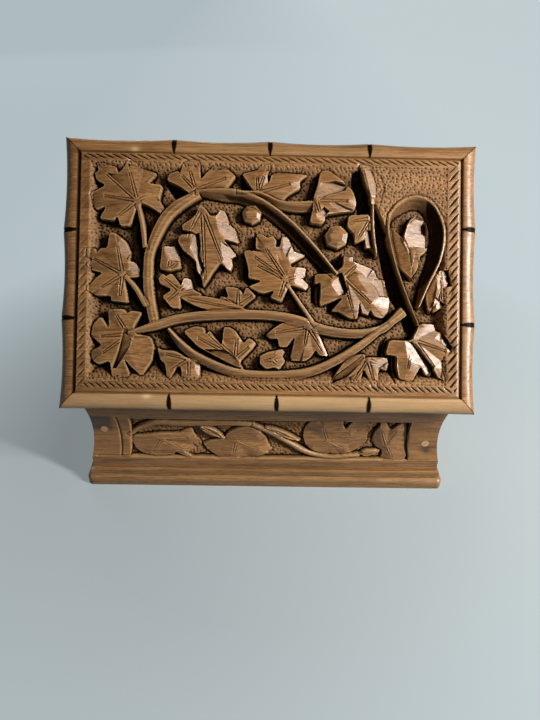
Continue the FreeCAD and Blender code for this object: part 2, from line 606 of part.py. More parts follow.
def back_nails():
    """Four nails through the back board into the side boards."""
    forward = Vec(0, -1, 0)
    side_height = FRONT_HEIGHT + (BODY_DEPTH - NAIL_LENGTH) * math.tan(SLOPE)
    places = [(s * SIDE_NAIL_X, share * side_height) for s in (-1, 1) for share in BACK_NAIL_SHARES]
    return [nail(Vec(x, BACK_Y, BASE_HEIGHT + h), forward) for x, h in places]


def base_nails():
    """Six nails up through the base board: two each into front and back, one into each side."""
    front_y, back_y = FRONT_Y + WALL / 2, BACK_Y - WALL / 2
    half = BASE_NAIL_SHARE * BODY_WIDTH / 2
    places = [(-half, front_y), (half, front_y), (-half, back_y), (half, back_y)]
    places += [(-BODY_WIDTH / 2 + WALL / 2, 0), (BODY_WIDTH / 2 - WALL / 2, 0)]
    return [nail(Vec(x, y, 0), UP) for x, y in places]


def leaf_mortises():
    """What the back leaves take out of the top of the back board."""
    half = HINGE_LENGTH / 2 + MORTISE_ROOM
    v0 = PIN_V - LEAF_WIDTH - MORTISE_ROOM
    return [block(x - half, x + half, v0, LID_BACK, -LEAF_THICKNESS, OVERRUN) for x in hinge_places()]


def build():
    """Makes every piece in its place, as a dictionary of node name to shape."""
    envelope = body_envelope()
    nails = {"front_nails": front_nails(), "back_nails": back_nails(), "base_nails": base_nails()}
    plugs = nail_plugs(envelope)
    every_nail = [n for group in nails.values() for n in group]
    back_screws = [on_slope(s) for x in hinge_places() for s in leaf_screws(x, -1)]
    lid_screws = [on_slope(s) for x in hinge_places() for s in leaf_screws(x, 1)]

    front = envelope.common(slab(FRONT_Y - OVERRUN, FRONT_Y + WALL)).cut(front_ground(envelope))
    back = envelope.common(slab(BACK_Y - WALL, BACK_Y + OVERRUN))
    sides = envelope.common(slab(FRONT_Y + WALL, BACK_Y - WALL))
    sides = sides.cut(inside_block(FRONT_Y, BACK_Y))
    left, right = sorted(sides.Solids, key=lambda s: s.CenterOfMass.x)

    parts = {
        "base_board": base_board().cut(every_nail),
        "front_board": front.cut(every_nail + plugs),
        "left_side": left.cut(every_nail),
        "right_side": right.cut(every_nail),
        "back_board": back.cut(every_nail + back_screws + [on_slope(m) for m in leaf_mortises()]),
        "lid_board": on_slope(lid_board()).cut(lid_screws),
        "nail_plugs": Part.makeCompound(plugs),
        "back_leaf_screws": Part.makeCompound(back_screws),
        "lid_leaf_screws": Part.makeCompound(lid_screws),
    }
    for name, group in nails.items():
        parts[name] = Part.makeCompound(group)
    for name, x in zip(("left", "right"), hinge_places()):
        parts[f"{name}_hinge_back_leaf"] = on_slope(hinge_leaf(x, -1))
        parts[f"{name}_hinge_lid_leaf"] = on_slope(hinge_leaf(x, 1))
        parts[f"{name}_hinge_pin"] = on_slope(hinge_pin(x))
    return parts


def main():
    os.makedirs("parts", exist_ok=True)
    for name, shape in build().items():
        shape.exportStep(f"parts/{name}.step")
        valid = shape.isValid() and all(s.isClosed() for s in shape.Shells)
        print(f"{name}: {len(shape.Solids)} solid(s), {shape.Volume:.1f} mm3, valid {valid}")


main()
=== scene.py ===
"""Looks of a carved walnut letter box: its carved lid and front, and its walnut, brass and iron.

A carved face is a height field: a grid of heights over a flat face, raised leaf by leaf, then laid on
the box. Lengths are millimetres until a mesh is made. The lid's flat frame is x across, v up the slope
and n off the slope.
"""

import math

import bpy
import numpy as np
from mathutils import Matrix, Vector


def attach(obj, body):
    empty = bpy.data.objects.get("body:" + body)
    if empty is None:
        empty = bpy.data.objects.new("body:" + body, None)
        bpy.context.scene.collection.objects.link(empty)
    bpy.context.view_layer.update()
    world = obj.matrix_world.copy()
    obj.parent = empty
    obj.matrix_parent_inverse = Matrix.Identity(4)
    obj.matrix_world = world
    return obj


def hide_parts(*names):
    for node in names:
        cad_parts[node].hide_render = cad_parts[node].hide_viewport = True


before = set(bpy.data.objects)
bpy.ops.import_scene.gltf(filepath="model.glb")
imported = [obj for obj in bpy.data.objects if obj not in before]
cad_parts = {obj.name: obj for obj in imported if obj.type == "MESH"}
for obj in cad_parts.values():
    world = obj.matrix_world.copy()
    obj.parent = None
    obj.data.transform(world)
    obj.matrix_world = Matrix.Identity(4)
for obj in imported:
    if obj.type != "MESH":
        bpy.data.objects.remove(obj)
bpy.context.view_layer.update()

MM = 0.001

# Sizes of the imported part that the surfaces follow
BODY_WIDTH = 184.6
BODY_DEPTH = 72.0
FRONT_HEIGHT = 50.0
BASE_HEIGHT = 9.5
SLOPE = math.radians(52.0)
WALL = 9.5
COVE_DEPTH = 2.6
LOWER_RAIL = 7.5
UPPER_RAIL = 5.0
LID_GAP = 0.2
LID_TOP = 9.7
LID_WIDTH = 200.0
LID_FRONT = -6.2
LID_BACK_OVERHANG = 8.2
BORDER = 8.2
ROPE_DROP = 0.9
GROUND_DEPTH = 6.0
CANE_SWELL = 1.1
HINGE_LENGTH = 26.0
HINGE_X = 56.0
HINGE_LEAF_WIDTH = 14.0
HINGE_LEAF_DEPTH = 1.0
HINGE_GROOVE = 2.15
HINGE_ROOM = 0.1
PIN_PAST_RIM = 3.33

FRONT_Y = -BODY_DEPTH / 2
FRONT_TOP = BASE_HEIGHT + FRONT_HEIGHT
RIM_LENGTH = BODY_DEPTH / math.cos(SLOPE)
LID_BACK = RIM_LENGTH + LID_BACK_OVERHANG
LID_LENGTH = LID_BACK - LID_FRONT
GROUND_N = LID_TOP - GROUND_DEPTH
ROPE_N = LID_TOP - ROPE_DROP
PIN_V = RIM_LENGTH + PIN_PAST_RIM

# Where the joints of the border's cane lie, as shares of each side, from the left or from the front
FRONT_JOINTS = (0.265, 0.52, 0.74)
BACK_JOINTS = (0.265, 0.495, 0.735)
LEFT_JOINTS = (0.33, 0.65)
RIGHT_JOINTS = (0.33, 0.68)
NOTCH_HALF = 1.5
NOTCH_OUTSIDE = 2.6
NOTCH_INSIDE = 0.9
MITRE_HALF = 0.75
MITRE_DEPTH = 0.9
# A pale chip on the border: how pale, its half length and half width, and how far in from the edge it lies
CHIP_PALE = 2.0
CHIP_LENGTH = 2.0
CHIP_WIDTH = 1.1
CHIP_INSET = 6.8

# The border's section from the underside round the roll to the seam: inset from the edge and height n
UNDERSIDE_INSET = 2.66
BORDER_SECTION = (
    (UNDERSIDE_INSET, 0.2), (1.7, 0.2), (0.95, 0.9), (0.3, 2.2), (0.15, 4.0), (0.3, 5.8), (0.9, 7.2),
    (1.9, 8.2), (3.2, 8.95), (4.6, 9.35), (6.0, 9.5), (7.1, 9.45), (7.7, 9.2), (BORDER, 8.1),
)

# Grid and tools of the carving
FIELD_STEP = 0.25
FRONT_STEP = 0.34
WALL_HALF = 0.2
SET_IN = 0.5
SET_IN_REACH = 0.7
CORNER_CUT = 0.14
FOLD = 0.06
FOLD_MORE = 0.3
VEIN_GAP = 1.5
VEIN_HALF = 0.42
VEIN_DEPTH = 0.75
FACE_FLOOR = 0.8
FACE_DROP = 4.0
FACE_EDGE = 0.3
MAT_PITCH = 1.7
MAT_RADIUS = 0.45
MAT_DEPTH = 0.55

# Recesses and raised edges, painted dark and pale, are found against means of the height round a place: the
# reach of each mean, the difference that counts in full, and the share that each part adds to the dark of a
# recess, as stain and painted shade
WIDE_REACH = 3.0
NEAR_REACH = 0.9
WIDE_FULL = 2.6
NEAR_FULL = 0.6
EDGE_FULL = 0.8
WIDE_SHARE = 0.5
NEAR_SHARE = 0.6
LOW_SHARE = 0.25
GAP_SHARE = 0.72
# The board's left part is painted darker, as shade away from the window lamp: how much, from where, and how
# far it takes to fade in
LEFT_PAINTED_SHADE = 0.17
LEFT_PAINTED_SHADE_FROM = 62
LEFT_PAINTED_SHADE_FADE = 50

# The rope band on the left, right, front and back: where its cuts start and end inward from the seam,
# how far they slant along the side for each millimetre inward, the way from cut to cut and their depth
ROPES = (
    (0.5, 4.8, -1.0, 4.2, 0.6),
    (1.2, 6.6, 1.17, 4.2, 1.3),
    (2.0, 5.4, 1.25, 3.2, 0.9),
    (0.2, 3.6, -2.0, 4.0, 0.9),
)
ROPE_WIDTHS = (4.8, 6.6, 5.4, 3.8)
# How far the ground takes to fall from the band, and the width and depth of the groove at the seam
DISH_WIDTHS = (5.5, 6.0, 8.0, 8.0)
SEAM_WIDTHS = (0.8, 1.6, 0.8, 0.8)
SEAM_DEPTH = 0.7
ROPE_CUT_SHARE = 0.24
# Up the left side the rope's cuts get fainter: the share that is left, from where, and over what length
ROPE_FAINT = 0.25
ROPE_FAINT_FROM = 85
ROPE_FADE = 25

# Leaves of the lid, in millimetres from its front left corner: height, heart, ends of the veins, outline
LID_LEAVES = (
    (5.3, (35.8, 100), ((21, 112.6), (32, 113.6), (20, 102), (27, 92.5), (45, 104.5)),
     ((16, 118), (20, 117.6), (25.2, 116.4), (26.4, 113.4), (28, 114.6), (30, 117.8), (31.8, 120.2),
      (36, 118.4), (38.6, 115.6), (44.8, 114), (40.6, 109), (47.6, 108.4), (46, 101), (49.2, 96.4),
      (47.4, 94), (41.2, 97.8), (38, 98.8), (35.2, 95.5), (32.4, 88), (27.8, 87.8), (26.6, 92),
      (24.4, 90.2), (17.6, 91), (20.8, 97), (15.6, 95.4), (13.6, 103.8), (20.4, 107.2), (16.2, 109.5),
      (15, 113), (17, 114.2))),
    (5.2, (29.6, 64.6), ((15.6, 71.8), (27, 78), (19.5, 58), (28.6, 54)),
     ((22.8, 84.6), (25, 84.8), (30.4, 81), (33, 75.4), (32.4, 71.2), (35.2, 70.6), (37.8, 67),
      (37.6, 63.6), (30.6, 62.8), (31.6, 56.6), (32.4, 51), (24.2, 51.6), (24, 54.2), (17.2, 54),
      (12.4, 57.4), (16.8, 62.6), (19.8, 65), (14.6, 66.2), (12.4, 69.4), (15.4, 71.4), (12.4, 73),
      (12.8, 76.8), (16, 77), (17.2, 75), (18.4, 77), (22, 77.4))),
    (5.3, (33, 36), ((27.2, 45), (20, 34.8), (21.2, 27), (39.4, 27.4)),
     ((22.8, 48), (30.4, 48.2), (32, 46.2), (34, 47.6), (39.4, 46.8), (35.6, 40.2), (36, 36.5),
      (43.2, 35.2), (45.2, 29.4), (44, 23.4), (39.6, 16), (34, 21), (31.2, 24.4), (34.2, 16.2),
      (25.6, 15.2), (24.4, 23.2), (19, 21.2), (15.6, 24), (15.4, 28), (20.4, 30.6), (15.2, 35),
      (16, 40.6), (19.4, 44.6), (23.8, 38.8))),
    (4.9, (63.4, 106), ((56.8, 112.6), (60.6, 115), (78, 112)),
     ((49.4, 110.4), (50.6, 113.8), (54.8, 115.2), (55.8, 113.8), (57.2, 118.2), (61, 120.2),
      (64.8, 119.8), (66, 111.2), (68.5, 114.8), (72, 117.8), (78.4, 116.6), (82.8, 113.4),
      (79.2, 108.2), (77.2, 106.6), (68, 105.2), (61.2, 103.6), (55.6, 107.6))),
    (4.9, (93.6, 105.4), ((92.8, 113), (96, 113), (109, 109.8)),
     ((85.2, 114.6), (91, 106.2), (95, 104.4), (104.4, 101), (108, 104.6), (114, 108.2), (113.6, 111.8),
      (117.6, 115), (110, 115.2), (102, 115.6), (99.8, 114.4), (98.5, 110), (97.8, 114), (99.2, 118.4),
      (95.2, 118.8), (92.4, 116))),
    (5.4, (121.5, 102), ((131.8, 109), (137, 102), (124, 94)),
     ((120.2, 104), (121.8, 108.4), (123.4, 116.4), (127.5, 117), (132.5, 113.5), (136.8, 110),
      (139.6, 107), (141.2, 101), (140.2, 97.8), (135.6, 97), (126.2, 95.4), (126, 92.6), (124, 90.4),
      (118.4, 91.2), (119.8, 98))),
    (5.4, (66.8, 97), ((69, 62.5), (77, 72), (58.5, 81)),
     ((65.5, 99), (68.5, 97), (71, 93.5), (73.6, 93.8), (75.6, 97), (77.8, 96.2), (80.2, 90),
      (83, 87.6), (85, 81), (77.2, 82.6), (80.4, 79), (83.8, 75), (81.2, 73.6), (82, 70), (80.8, 66.8),
      (76.2, 71), (72.6, 66.4), (70.8, 63), (68, 59), (67, 64), (64.6, 67.4), (64.2, 71.8),
      (58.2, 76.5), (55.4, 81), (56.4, 84.2), (64, 84.9), (57.6, 86.4), (57.2, 89), (63.8, 93.4))),
    (5.4, (107.5, 63.5), ((97.4, 78.4), (92, 74.4), (93.6, 70), (116, 66), (104.6, 55)),
     ((92.6, 81), (93, 85.4), (96, 85.6), (98.6, 83.6), (101, 85), (102.8, 82.6), (102.4, 79.4),
      (104.4, 79.6), (105.2, 84.6), (108.4, 84.4), (111.4, 77.6), (117.4, 76), (109.6, 71.2),
      (110.4, 69.8), (117.3, 69.9), (117, 65.8), (115.4, 64.4), (118.8, 61.4), (117.4, 58.8),
      (109.6, 61), (107.6, 57), (105.6, 52.4), (100, 54.6), (101.8, 58), (96, 56.4), (89, 60),
      (95.8, 62.6), (89.4, 63.8), (89.4, 68.4), (86.8, 77.6), (96, 76.8), (92.8, 78))),
    (5.4, (135.2, 65.2), ((148.4, 53), (141.6, 71.4), (130, 62.4), (139.6, 50)),
     ((135.2, 76), (137.6, 75), (140, 75.4), (139.8, 72.8), (150, 70), (152.2, 65.2), (156, 64.8),
      (156, 61), (158.2, 54.5), (157.4, 49), (154.4, 45.8), (150.4, 46.8), (148.4, 49.8), (147.4, 47),
      (144.2, 48.2), (143.2, 53.6), (142.4, 45.2), (138.4, 45.4), (133.2, 48.6), (129.4, 48.8),
      (135, 55.6), (127.6, 52.6), (124, 51.2), (124.4, 62.6), (121.4, 61.8), (121.6, 67), (128, 67),
      (132, 68.4), (134.8, 70.5))),
    (4.6, (51.5, 67.4), ((52.4, 76), (55.6, 71)),
     ((47.6, 78.8), (55.2, 78.8), (56.6, 71.4), (57.2, 68.2), (51, 66.4), (46.8, 67.8), (47.6, 74.2))),
    (4.6, (56.6, 57.4), ((49.5, 63), (51, 52.6), (61, 62)),
     ((46.4, 63), (48.4, 65.6), (50, 64.2), (52.6, 65.8), (56, 61.8), (57.4, 59.8), (58.6, 63.8),
      (62, 63.2), (63, 58.2), (67.4, 56), (66, 53.8), (57.4, 53.6), (57.2, 48.8), (53.2, 48.8),
      (48.2, 54.6), (53, 57.8), (47.4, 60.4))),
    (4.6, (84.8, 50.4), ((84.6, 58.4), (91.5, 55.4), (78.4, 54)),
     ((78.2, 60), (84, 59.4), (86, 58.2), (87.2, 56.2), (88.2, 59.4), (89.4, 59.4), (93.6, 55.4),
      (88.4, 51.2), (87, 49.6), (82, 51.6), (75.8, 53.6), (76.4, 55.2), (80, 54.4))),
    (4.9, (84, 25.5), ((66, 35), (84.6, 35), (71, 37), (90.4, 31)),
     ((58.6, 38), (66, 30.6), (72, 27.6), (79, 24), (88.6, 19.4), (86, 23.6), (92, 29.8), (93.8, 32.6),
      (92.2, 34.4), (90, 35.4), (88, 33), (86.2, 35), (84, 38.4), (81, 40.4), (78, 40.4), (77.4, 31.6),
      (73.6, 35.6), (71.4, 38.4), (69.6, 36.8), (68.8, 40), (64, 40.6))),
    (4.9, (118.4, 41), ((117, 32), (103, 38), (125.6, 30)),
     ((98.2, 37), (102, 40.4), (106, 43), (112, 43.6), (116.5, 42.4), (122.4, 40.6), (124.4, 36.6),
      (128.8, 27), (124, 27.4), (122.4, 30), (120.4, 26.8), (117.6, 24.6), (110, 24.8), (112.4, 36.4),
      (108.6, 31.2), (104.8, 31.2), (104, 35.2), (100.4, 35))),
    (4.2, (101.6, 25), ((105.6, 28.4), (97.5, 24.5), (105.6, 22)),
     ((95.6, 27), (99.2, 28.8), (102.8, 29.6), (106.4, 30.4), (107.6, 28.8), (106.4, 26.8), (108, 24.6),
      (105.2, 20.2), (102.4, 21.4), (98.8, 20.4), (95.6, 23))),
    (4.6, (62, 24.6), ((50.6, 27), (62, 16.5), (53, 19)),
     ((46.6, 30), (48.4, 29), (55.2, 28.6), (60, 25.8), (67.2, 23.6), (67.2, 15.2), (58.8, 14.8),
      (58.2, 20.4), (56.6, 21.4), (53.2, 15.4), (51.6, 16), (50.4, 22.2), (48.2, 24))),
    (4.5, (147.4, 26), ((150.6, 15), (141.5, 16.5), (155.4, 23)),
     ((145.2, 25.6), (147.2, 27.2), (157, 27), (157.6, 25), (156.6, 20.4), (153, 21.8), (152.2, 11.8),
      (149.2, 14), (145.6, 21.6), (144, 15), (140, 14.8), (139.4, 17.2), (135.4, 13), (131, 14),
      (141.4, 20.8))),
    (5.5, (169.4, 35.6), ((179.2, 22.6), (166.6, 22), (185, 30.5)),
     ((172.4, 43.8), (179.6, 43.8), (180.2, 40.4), (183.6, 39.2), (188.2, 32.6), (188.4, 28.4),
      (183.4, 23.2), (185.2, 16.6), (181.2, 17.6), (179.2, 21.2), (177, 18.2), (175, 19), (173.2, 23.2),
      (168.8, 15.6), (162.6, 16.8), (161.2, 22), (161.2, 27.8), (155.8, 28.4), (157.8, 35.8),
      (168, 35.2))),
    (4.7, (147.8, 94), ((142.5, 85), (147.4, 81), (139, 92.5)),
     ((137.4, 95.6), (148, 96), (149.4, 86), (151.6, 78.5), (151, 76.2), (147.8, 79.8), (145.4, 79.4),
      (145.4, 83.8), (140.4, 81.6), (140.2, 86), (136.6, 90))),
    (4.6, (181.2, 66), ((185.6, 62), (182.4, 53)),
     ((181, 69.6), (185.8, 69.6), (187.4, 64), (187.2, 58.4), (185.4, 53.6), (178.4, 48.4), (180, 58))),
    (4.8, (169.6, 80.4), ((166.8, 91), (171, 93), (173.4, 90)),
     ((164.4, 80.2), (164.2, 86), (166.6, 93.4), (169, 95.4), (172, 94.2), (174.8, 94.4), (175.6, 89.8),
      (175, 84), (175.6, 79.6), (174.2, 77.4), (172.2, 76.4), (171.2, 69.8), (168, 65.4), (167.6, 77),
      (165.2, 79))),
    (6.0, (147.6, 101), ((143.6, 117),),
     ((141.8, 119.6), (146, 119.4), (152, 114), (153.8, 109), (152.4, 102.6), (149.6, 100.6),
      (147.6, 100.4), (147, 105.6), (144.6, 111.6))),
)
# Single blades: height, width, root and tip
LID_BLADES = (
    (5.0, 6.4, (57.4, 54), (92.6, 47.4)),
    (4.6, 7.6, (146.4, 28.4), (130, 14.6)),
    (4.9, 8.4, (156.6, 90.5), (168.4, 64.6)),
    (4.9, 6.2, (180.2, 68.5), (177, 48.6)),
)
# Faces pared flat on the leaves: the fall to the right and to the top for each millimetre, and the outline
LIT = (0.45, 0.1)
HALF_LIT = (0.2, 0.05)
LIT_RIGHT = (0.3, 0.1)
SHADED = (-0.15, -0.05)
DARK = (-0.3, -0.06)
LID_FACES = (
    (LIT, ((25.6, 84.6), (30.4, 81), (33, 75.4), (32, 71.6), (29.4, 73), (27.6, 79))),
    (LIT, ((32, 71), (35.2, 70.6), (37.8, 67), (37.6, 64.2), (33.2, 64.8), (32.2, 68))),
    (HALF_LIT,
     ((38, 108.4), (47.6, 108.4), (46, 101), (49.2, 96.4), (47.4, 94), (41.2, 97.8), (37, 101))),
    (HALF_LIT,
     ((31, 116.6), (31.8, 120.2), (36, 118.4), (38.6, 115.6), (44.8, 114), (38.4, 108.2), (34, 110))),
    (SHADED, ((21.5, 113), (27, 112.5), (30.5, 112.8), (35.6, 104), (35, 101))),
    (DARK, ((31, 39), (35, 37), (34, 30.5), (27.5, 20), (25.4, 19.6), (28.4, 28))),
    (HALF_LIT, ((35.6, 35), (43.2, 35.2), (45.2, 29.4), (44, 23.4), (39.6, 16), (32, 25))),
    (LIT,
     ((120.4, 104.2), (122, 108.4), (124.2, 110.8), (130.4, 111.6), (137, 110), (135.4, 107.4),
      (128, 105), (122, 102.6))),
    (LIT, ((121, 94.6), (125.4, 99), (128, 97), (126.2, 95.4), (126, 92.6), (124, 92))),
    (HALF_LIT, ((129, 102), (136, 99), (140.2, 97.8), (135.6, 97), (127, 96))),
    (LIT,
     ((73.4, 92), (75.6, 97), (77.8, 96.2), (80.2, 90), (83, 87.6), (85, 81), (77.2, 82.8),
      (74.6, 87))),
    (LIT,
     ((76.4, 81), (80.4, 79), (83.8, 75), (81.2, 73.6), (82, 70), (80.8, 66.8), (76.6, 71.2),
      (76.8, 76))),
    (LIT,
     ((62.4, 84.7), (65.6, 84.9), (66.4, 79), (66, 74), (68.8, 68.2), (67, 64.6), (64.6, 67.4),
      (64.2, 71.8), (61.2, 74.6), (61.8, 79))),
    (SHADED, ((55.4, 81), (56.4, 84.2), (62.4, 84.7), (61.6, 79), (61.2, 74.8), (58.2, 76.5))),
    (SHADED, ((57.6, 86.4), (57.2, 89), (63.8, 93.4), (65, 87))),
    (LIT, ((104.8, 80), (105.2, 84.6), (108.4, 84.4), (110.2, 80.4), (107.6, 74.6))),
    (LIT, ((108.4, 84), (111.4, 77.6), (117.4, 76), (109.6, 71.4), (107.8, 75.4))),
    (LIT,
     ((110.2, 69.8), (117.3, 69.9), (117, 65.8), (115.4, 64.4), (118.8, 61.4), (117.4, 58.8),
      (112, 61.4), (110.6, 65.6))),
    (SHADED,
     ((102.6, 79), (104.6, 79.4), (107.4, 74.4), (109.6, 71), (110, 66), (107.6, 65.4), (104, 72))),
    (SHADED, ((86.8, 77.6), (90.6, 77.2), (94, 70), (94.4, 65), (89.4, 63.8), (89.4, 68.4))),
    (LIT, ((129.2, 60), (130.4, 66.6), (134.4, 67.4), (137.4, 59), (136, 57), (132.6, 56.2))),
    (LIT, ((139.8, 73), (150, 70), (146.6, 65.4), (141.4, 69))),
    (LIT, ((147.6, 64.8), (156, 64.8), (156, 61), (158, 56.2), (152.6, 56.4), (151.4, 60))),
    (LIT, ((136.8, 75.6), (140, 75.4), (139.8, 72.8), (137.4, 72.6))),
    (SHADED, ((136.4, 65.2), (140.4, 68), (146.4, 65), (151.2, 60), (151.4, 57), (142, 59.6))),
    (LIT, ((47.6, 78.8), (55.2, 78.8), (56.6, 71.4), (52, 71.4), (50, 74.4), (47.8, 75.6))),
    (LIT, ((57.4, 60), (58.6, 63.8), (62, 63.2), (63, 58.2), (60, 57.4))),
    (DARK, ((69, 29.6), (79, 29.4), (83.6, 26.4), (88.6, 19.4), (79, 24))),
    (LIT, ((121.4, 40.8), (122.4, 40.6), (128.8, 27), (126.8, 27.2))),
    (HALF_LIT,
     ((101, 29), (106.4, 30.4), (107.6, 28.8), (106.4, 26.8), (108, 24.6), (105.2, 20.2), (102, 24))),
    (LIT, ((64.8, 23.6), (67.2, 23.6), (67.2, 15.2), (65, 15.2))),
    (HALF_LIT, ((145.6, 25.8), (157, 27), (157.6, 25), (153, 21.8), (152.2, 11.8), (147, 20))),
    (LIT_RIGHT,
     ((174.2, 43.8), (179.6, 43.8), (180.2, 40.4), (183.6, 39.2), (188.2, 32.6), (187.6, 30.4),
      (182, 34.8), (176.2, 38.4))),
    (LIT_RIGHT,
     ((163.8, 35.2), (168.6, 34.6), (173.4, 29), (178.8, 23), (179, 20.6), (176, 18.6), (173.2, 23.2),
      (168, 24.6), (164.8, 30))),
    (LIT_RIGHT, ((180, 20.6), (183.6, 22.4), (185.2, 16.6), (181.2, 17.6))),
    (SHADED,
     ((157.8, 35.8), (163.6, 35.2), (165.6, 26), (168.4, 15.6), (162.6, 16.8), (161.2, 27.8),
      (155.8, 28.4))),
    (LIT, ((145.2, 79.4), (145.4, 88.6), (148.4, 88), (149, 79))),
    (SHADED, ((136.6, 90), (137.4, 95.6), (140.6, 95.8), (140.2, 86))),
    (LIT_RIGHT, ((164.2, 80.4), (164.4, 90), (169.4, 94.8), (174.8, 94.4), (175.4, 80))),
    (DARK, ((156, 91), (162, 87), (165.4, 79), (168.8, 70), (168.4, 64.4), (163, 66), (158.6, 79))),
    (DARK, ((180.6, 68.6), (180, 60), (178, 48.4), (173.6, 55), (177, 64.6))),
    (LIT_RIGHT, ((180.6, 69.6), (185.8, 69.6), (187.4, 62), (180, 60))),
    (LIT_RIGHT, ((179.4, 56.6), (184.6, 53), (178.4, 48.4))),
    (DARK, ((145.6, 28.6), (144.8, 25), (137.6, 17.4), (130, 14), (132, 18))),
)
# Berries cut with flat faces: height, radius and place
LID_BERRIES = ((4.2, 4.9, (90.6, 95)), (5.2, 5.9, (131.6, 84.8)))
# Vines, each a height, the fall to the left and to the right edge, and its crest as a run of places
# with the widths to the left and to the right of the crest
LID_VINES = (
    (5.4, 0.5, 0.4,
     ((45, 42, 2.2, 2.2), (42.3, 55, 2.4, 2.4), (41.6, 67, 2.3, 2.2), (42.6, 77, 2.3, 2.2),
      (48.4, 90.6, 2.6, 2.6), (55, 98, 2.6, 2.6), (64.4, 104.2, 1.6, 2.2))),
    (5.6, 0.3, 4.6,
     ((64.4, 105.2, 0.8, 1.4), (76, 106, 1.0, 4.2), (86, 105, 1.1, 4.4), (97, 100.6, 1.1, 4.6),
      (110, 90.8, 1.1, 4.6), (121.5, 79, 1.1, 4.4), (131.5, 67, 0.9, 2.6))),
    (5.2, 0.4, 3.0,
     ((84, 105.6, 0.7, 0.8), (94, 105, 0.8, 1.4), (104, 101.2, 0.8, 3.0), (112, 100.8, 0.7, 4.0),
      (119.6, 101.4, 0.6, 4.4))),
    (5.6, 0.5, 1.8,
     ((33.5, 37, 0.9, 1.0), (45, 41, 1.3, 2.8), (56, 44.6, 1.4, 3.0), (70, 46.6, 1.4, 3.2),
      (87, 47.4, 1.4, 3.2), (102, 47, 1.4, 3.2), (114, 45, 1.4, 3.4), (127, 40.6, 1.4, 3.4),
      (141, 39, 1.4, 3.0), (153, 41, 1.4, 2.8), (159.5, 45.2, 1.8, 2.2), (164, 49, 2.6, 2.6))),
    (5.4, 0.4, 1.9,
     ((52, 38.5, 0.9, 1.0), (58.5, 32, 1.2, 2.6), (67, 26, 1.3, 3.0), (83, 19.8, 1.3, 3.2),
      (100, 18.4, 1.3, 3.2), (118, 20.2, 1.3, 3.2), (132, 26, 1.3, 3.0), (143, 33, 1.3, 2.8),
      (150, 38, 1.2, 2.2), (156, 42, 0.8, 1.0))),
    (5.1, 0.3, 0.4, ((121.5, 42.5, 1.0, 1.0), (115, 51.5, 1.0, 1.0), (108.5, 61, 0.8, 0.8))),
    (5.2, 0.3, 0.4, ((36.4, 98, 0.8, 1.2), (38.8, 88, 0.9, 1.4), (40.2, 78, 0.9, 1.4))),
    (5.2, 0.3, 0.4, ((31, 63.5, 1.0, 1.0), (36, 58, 1.2, 1.2), (41, 50, 1.4, 1.4))),
    (5.4, 0.2, 5.2,
     ((171.4, 43.4, 0.7, 0.8), (165.5, 58, 0.8, 1.0), (160, 74, 0.9, 1.0), (156.6, 91.5, 0.9, 1.6),
      (160, 100, 0.9, 4.0), (169, 104.8, 0.9, 4.8), (178, 101, 0.9, 5.2), (183.2, 89, 0.9, 5.2),
      (181.5, 75, 0.9, 4.8), (176, 63, 0.9, 3.0), (171.5, 52, 0.7, 1.0))),
    (5.2, 0.2, 0.4, ((148.8, 102.5, 0.5, 0.6), (149.2, 89, 0.7, 0.8), (150.8, 76, 0.4, 0.5))),
)
# The ground stands high between the loop and the corner
PLATEAU_HEIGHT = 4.9
PLATEAU_EDGE = 1.6
PLATEAU = (
    (146, 123), (192, 123), (192, 46), (184.6, 46), (183.4, 89), (178, 101.4),
    (169, 105), (160, 100.4), (156.4, 91.5), (156, 86), (149.4, 101), (150, 110),
)

# Painted shade on a vine's side that falls far, and painted highlight with wear along its crest and how far
# from it
VINE_SHADE = 0.5
VINE_RUB_AND_HIGHLIGHT = 0.7
VINE_RUB_HALF = 0.45
# Gaps cut deep between the forms and painted dark as shadow, and vine faces painted dark as shade the same
# way;
# wood that stands higher off the ground than the limit stays as it is
GAP_DEPTH = 1.4
GAP_LIMIT = 1.2
SHADE_LIMIT = 5.0
LID_SHADOW_GAPS = (
    ((138.6, 116.4), (143, 117.4), (148, 97.7), (142, 96.8), (141.4, 104), (139.2, 111)),
    ((149.9, 101.4), (155, 89.4), (159.6, 74.7), (164.3, 60.8), (170.3, 44.2), (171.2, 41.5),
     (168.5, 38), (165.6, 40), (163.6, 48), (158.7, 55.3), (155, 67.3), (152.2, 82), (149.9, 93)),
    ((35.7, 96), (38.5, 95), (39.5, 80), (39, 71), (38, 70), (34.8, 84)),
    ((49.7, 111.5), (54, 108.8), (62.2, 103.2), (57.6, 100.5), (54, 101.4), (50, 107)),
    ((85, 113), (88.2, 111.5), (92, 107), (85.4, 107)),
    ((32, 61), (39, 51.6), (39, 48), (35.3, 50.7), (31.6, 56)),
    ((62.2, 69), (66, 68), (68.2, 59), (64.5, 60.8)),
    ((87.3, 75.6), (91, 74.7), (89.6, 65.4), (95.6, 61.8), (90, 60), (86.8, 65.4)),
    ((92, 86.6), (94.7, 84.8), (93.8, 78.3), (92, 80)),
    ((49.7, 36), (55.7, 33), (65, 24), (58.5, 25), (50, 33)),
    ((44.6, 29), (46, 27.6), (49.2, 18.4), (47.4, 20.3), (45, 25)),
    ((127.6, 72.8), (134.5, 77.4), (133.6, 71), (130, 70)),
    ((120, 62.7), (123.4, 64.5), (122, 58), (122.4, 52.5), (120, 53.5)),
    ((127.6, 51.6), (133.6, 56.2), (135, 56.7), (130.8, 48.8), (128, 48.8)),
    ((154, 35), (156.8, 37), (155.4, 31.3), (155, 27.6), (159.6, 26.7), (160.5, 14.7), (157.3, 21),
     (152.6, 28.6)),
)
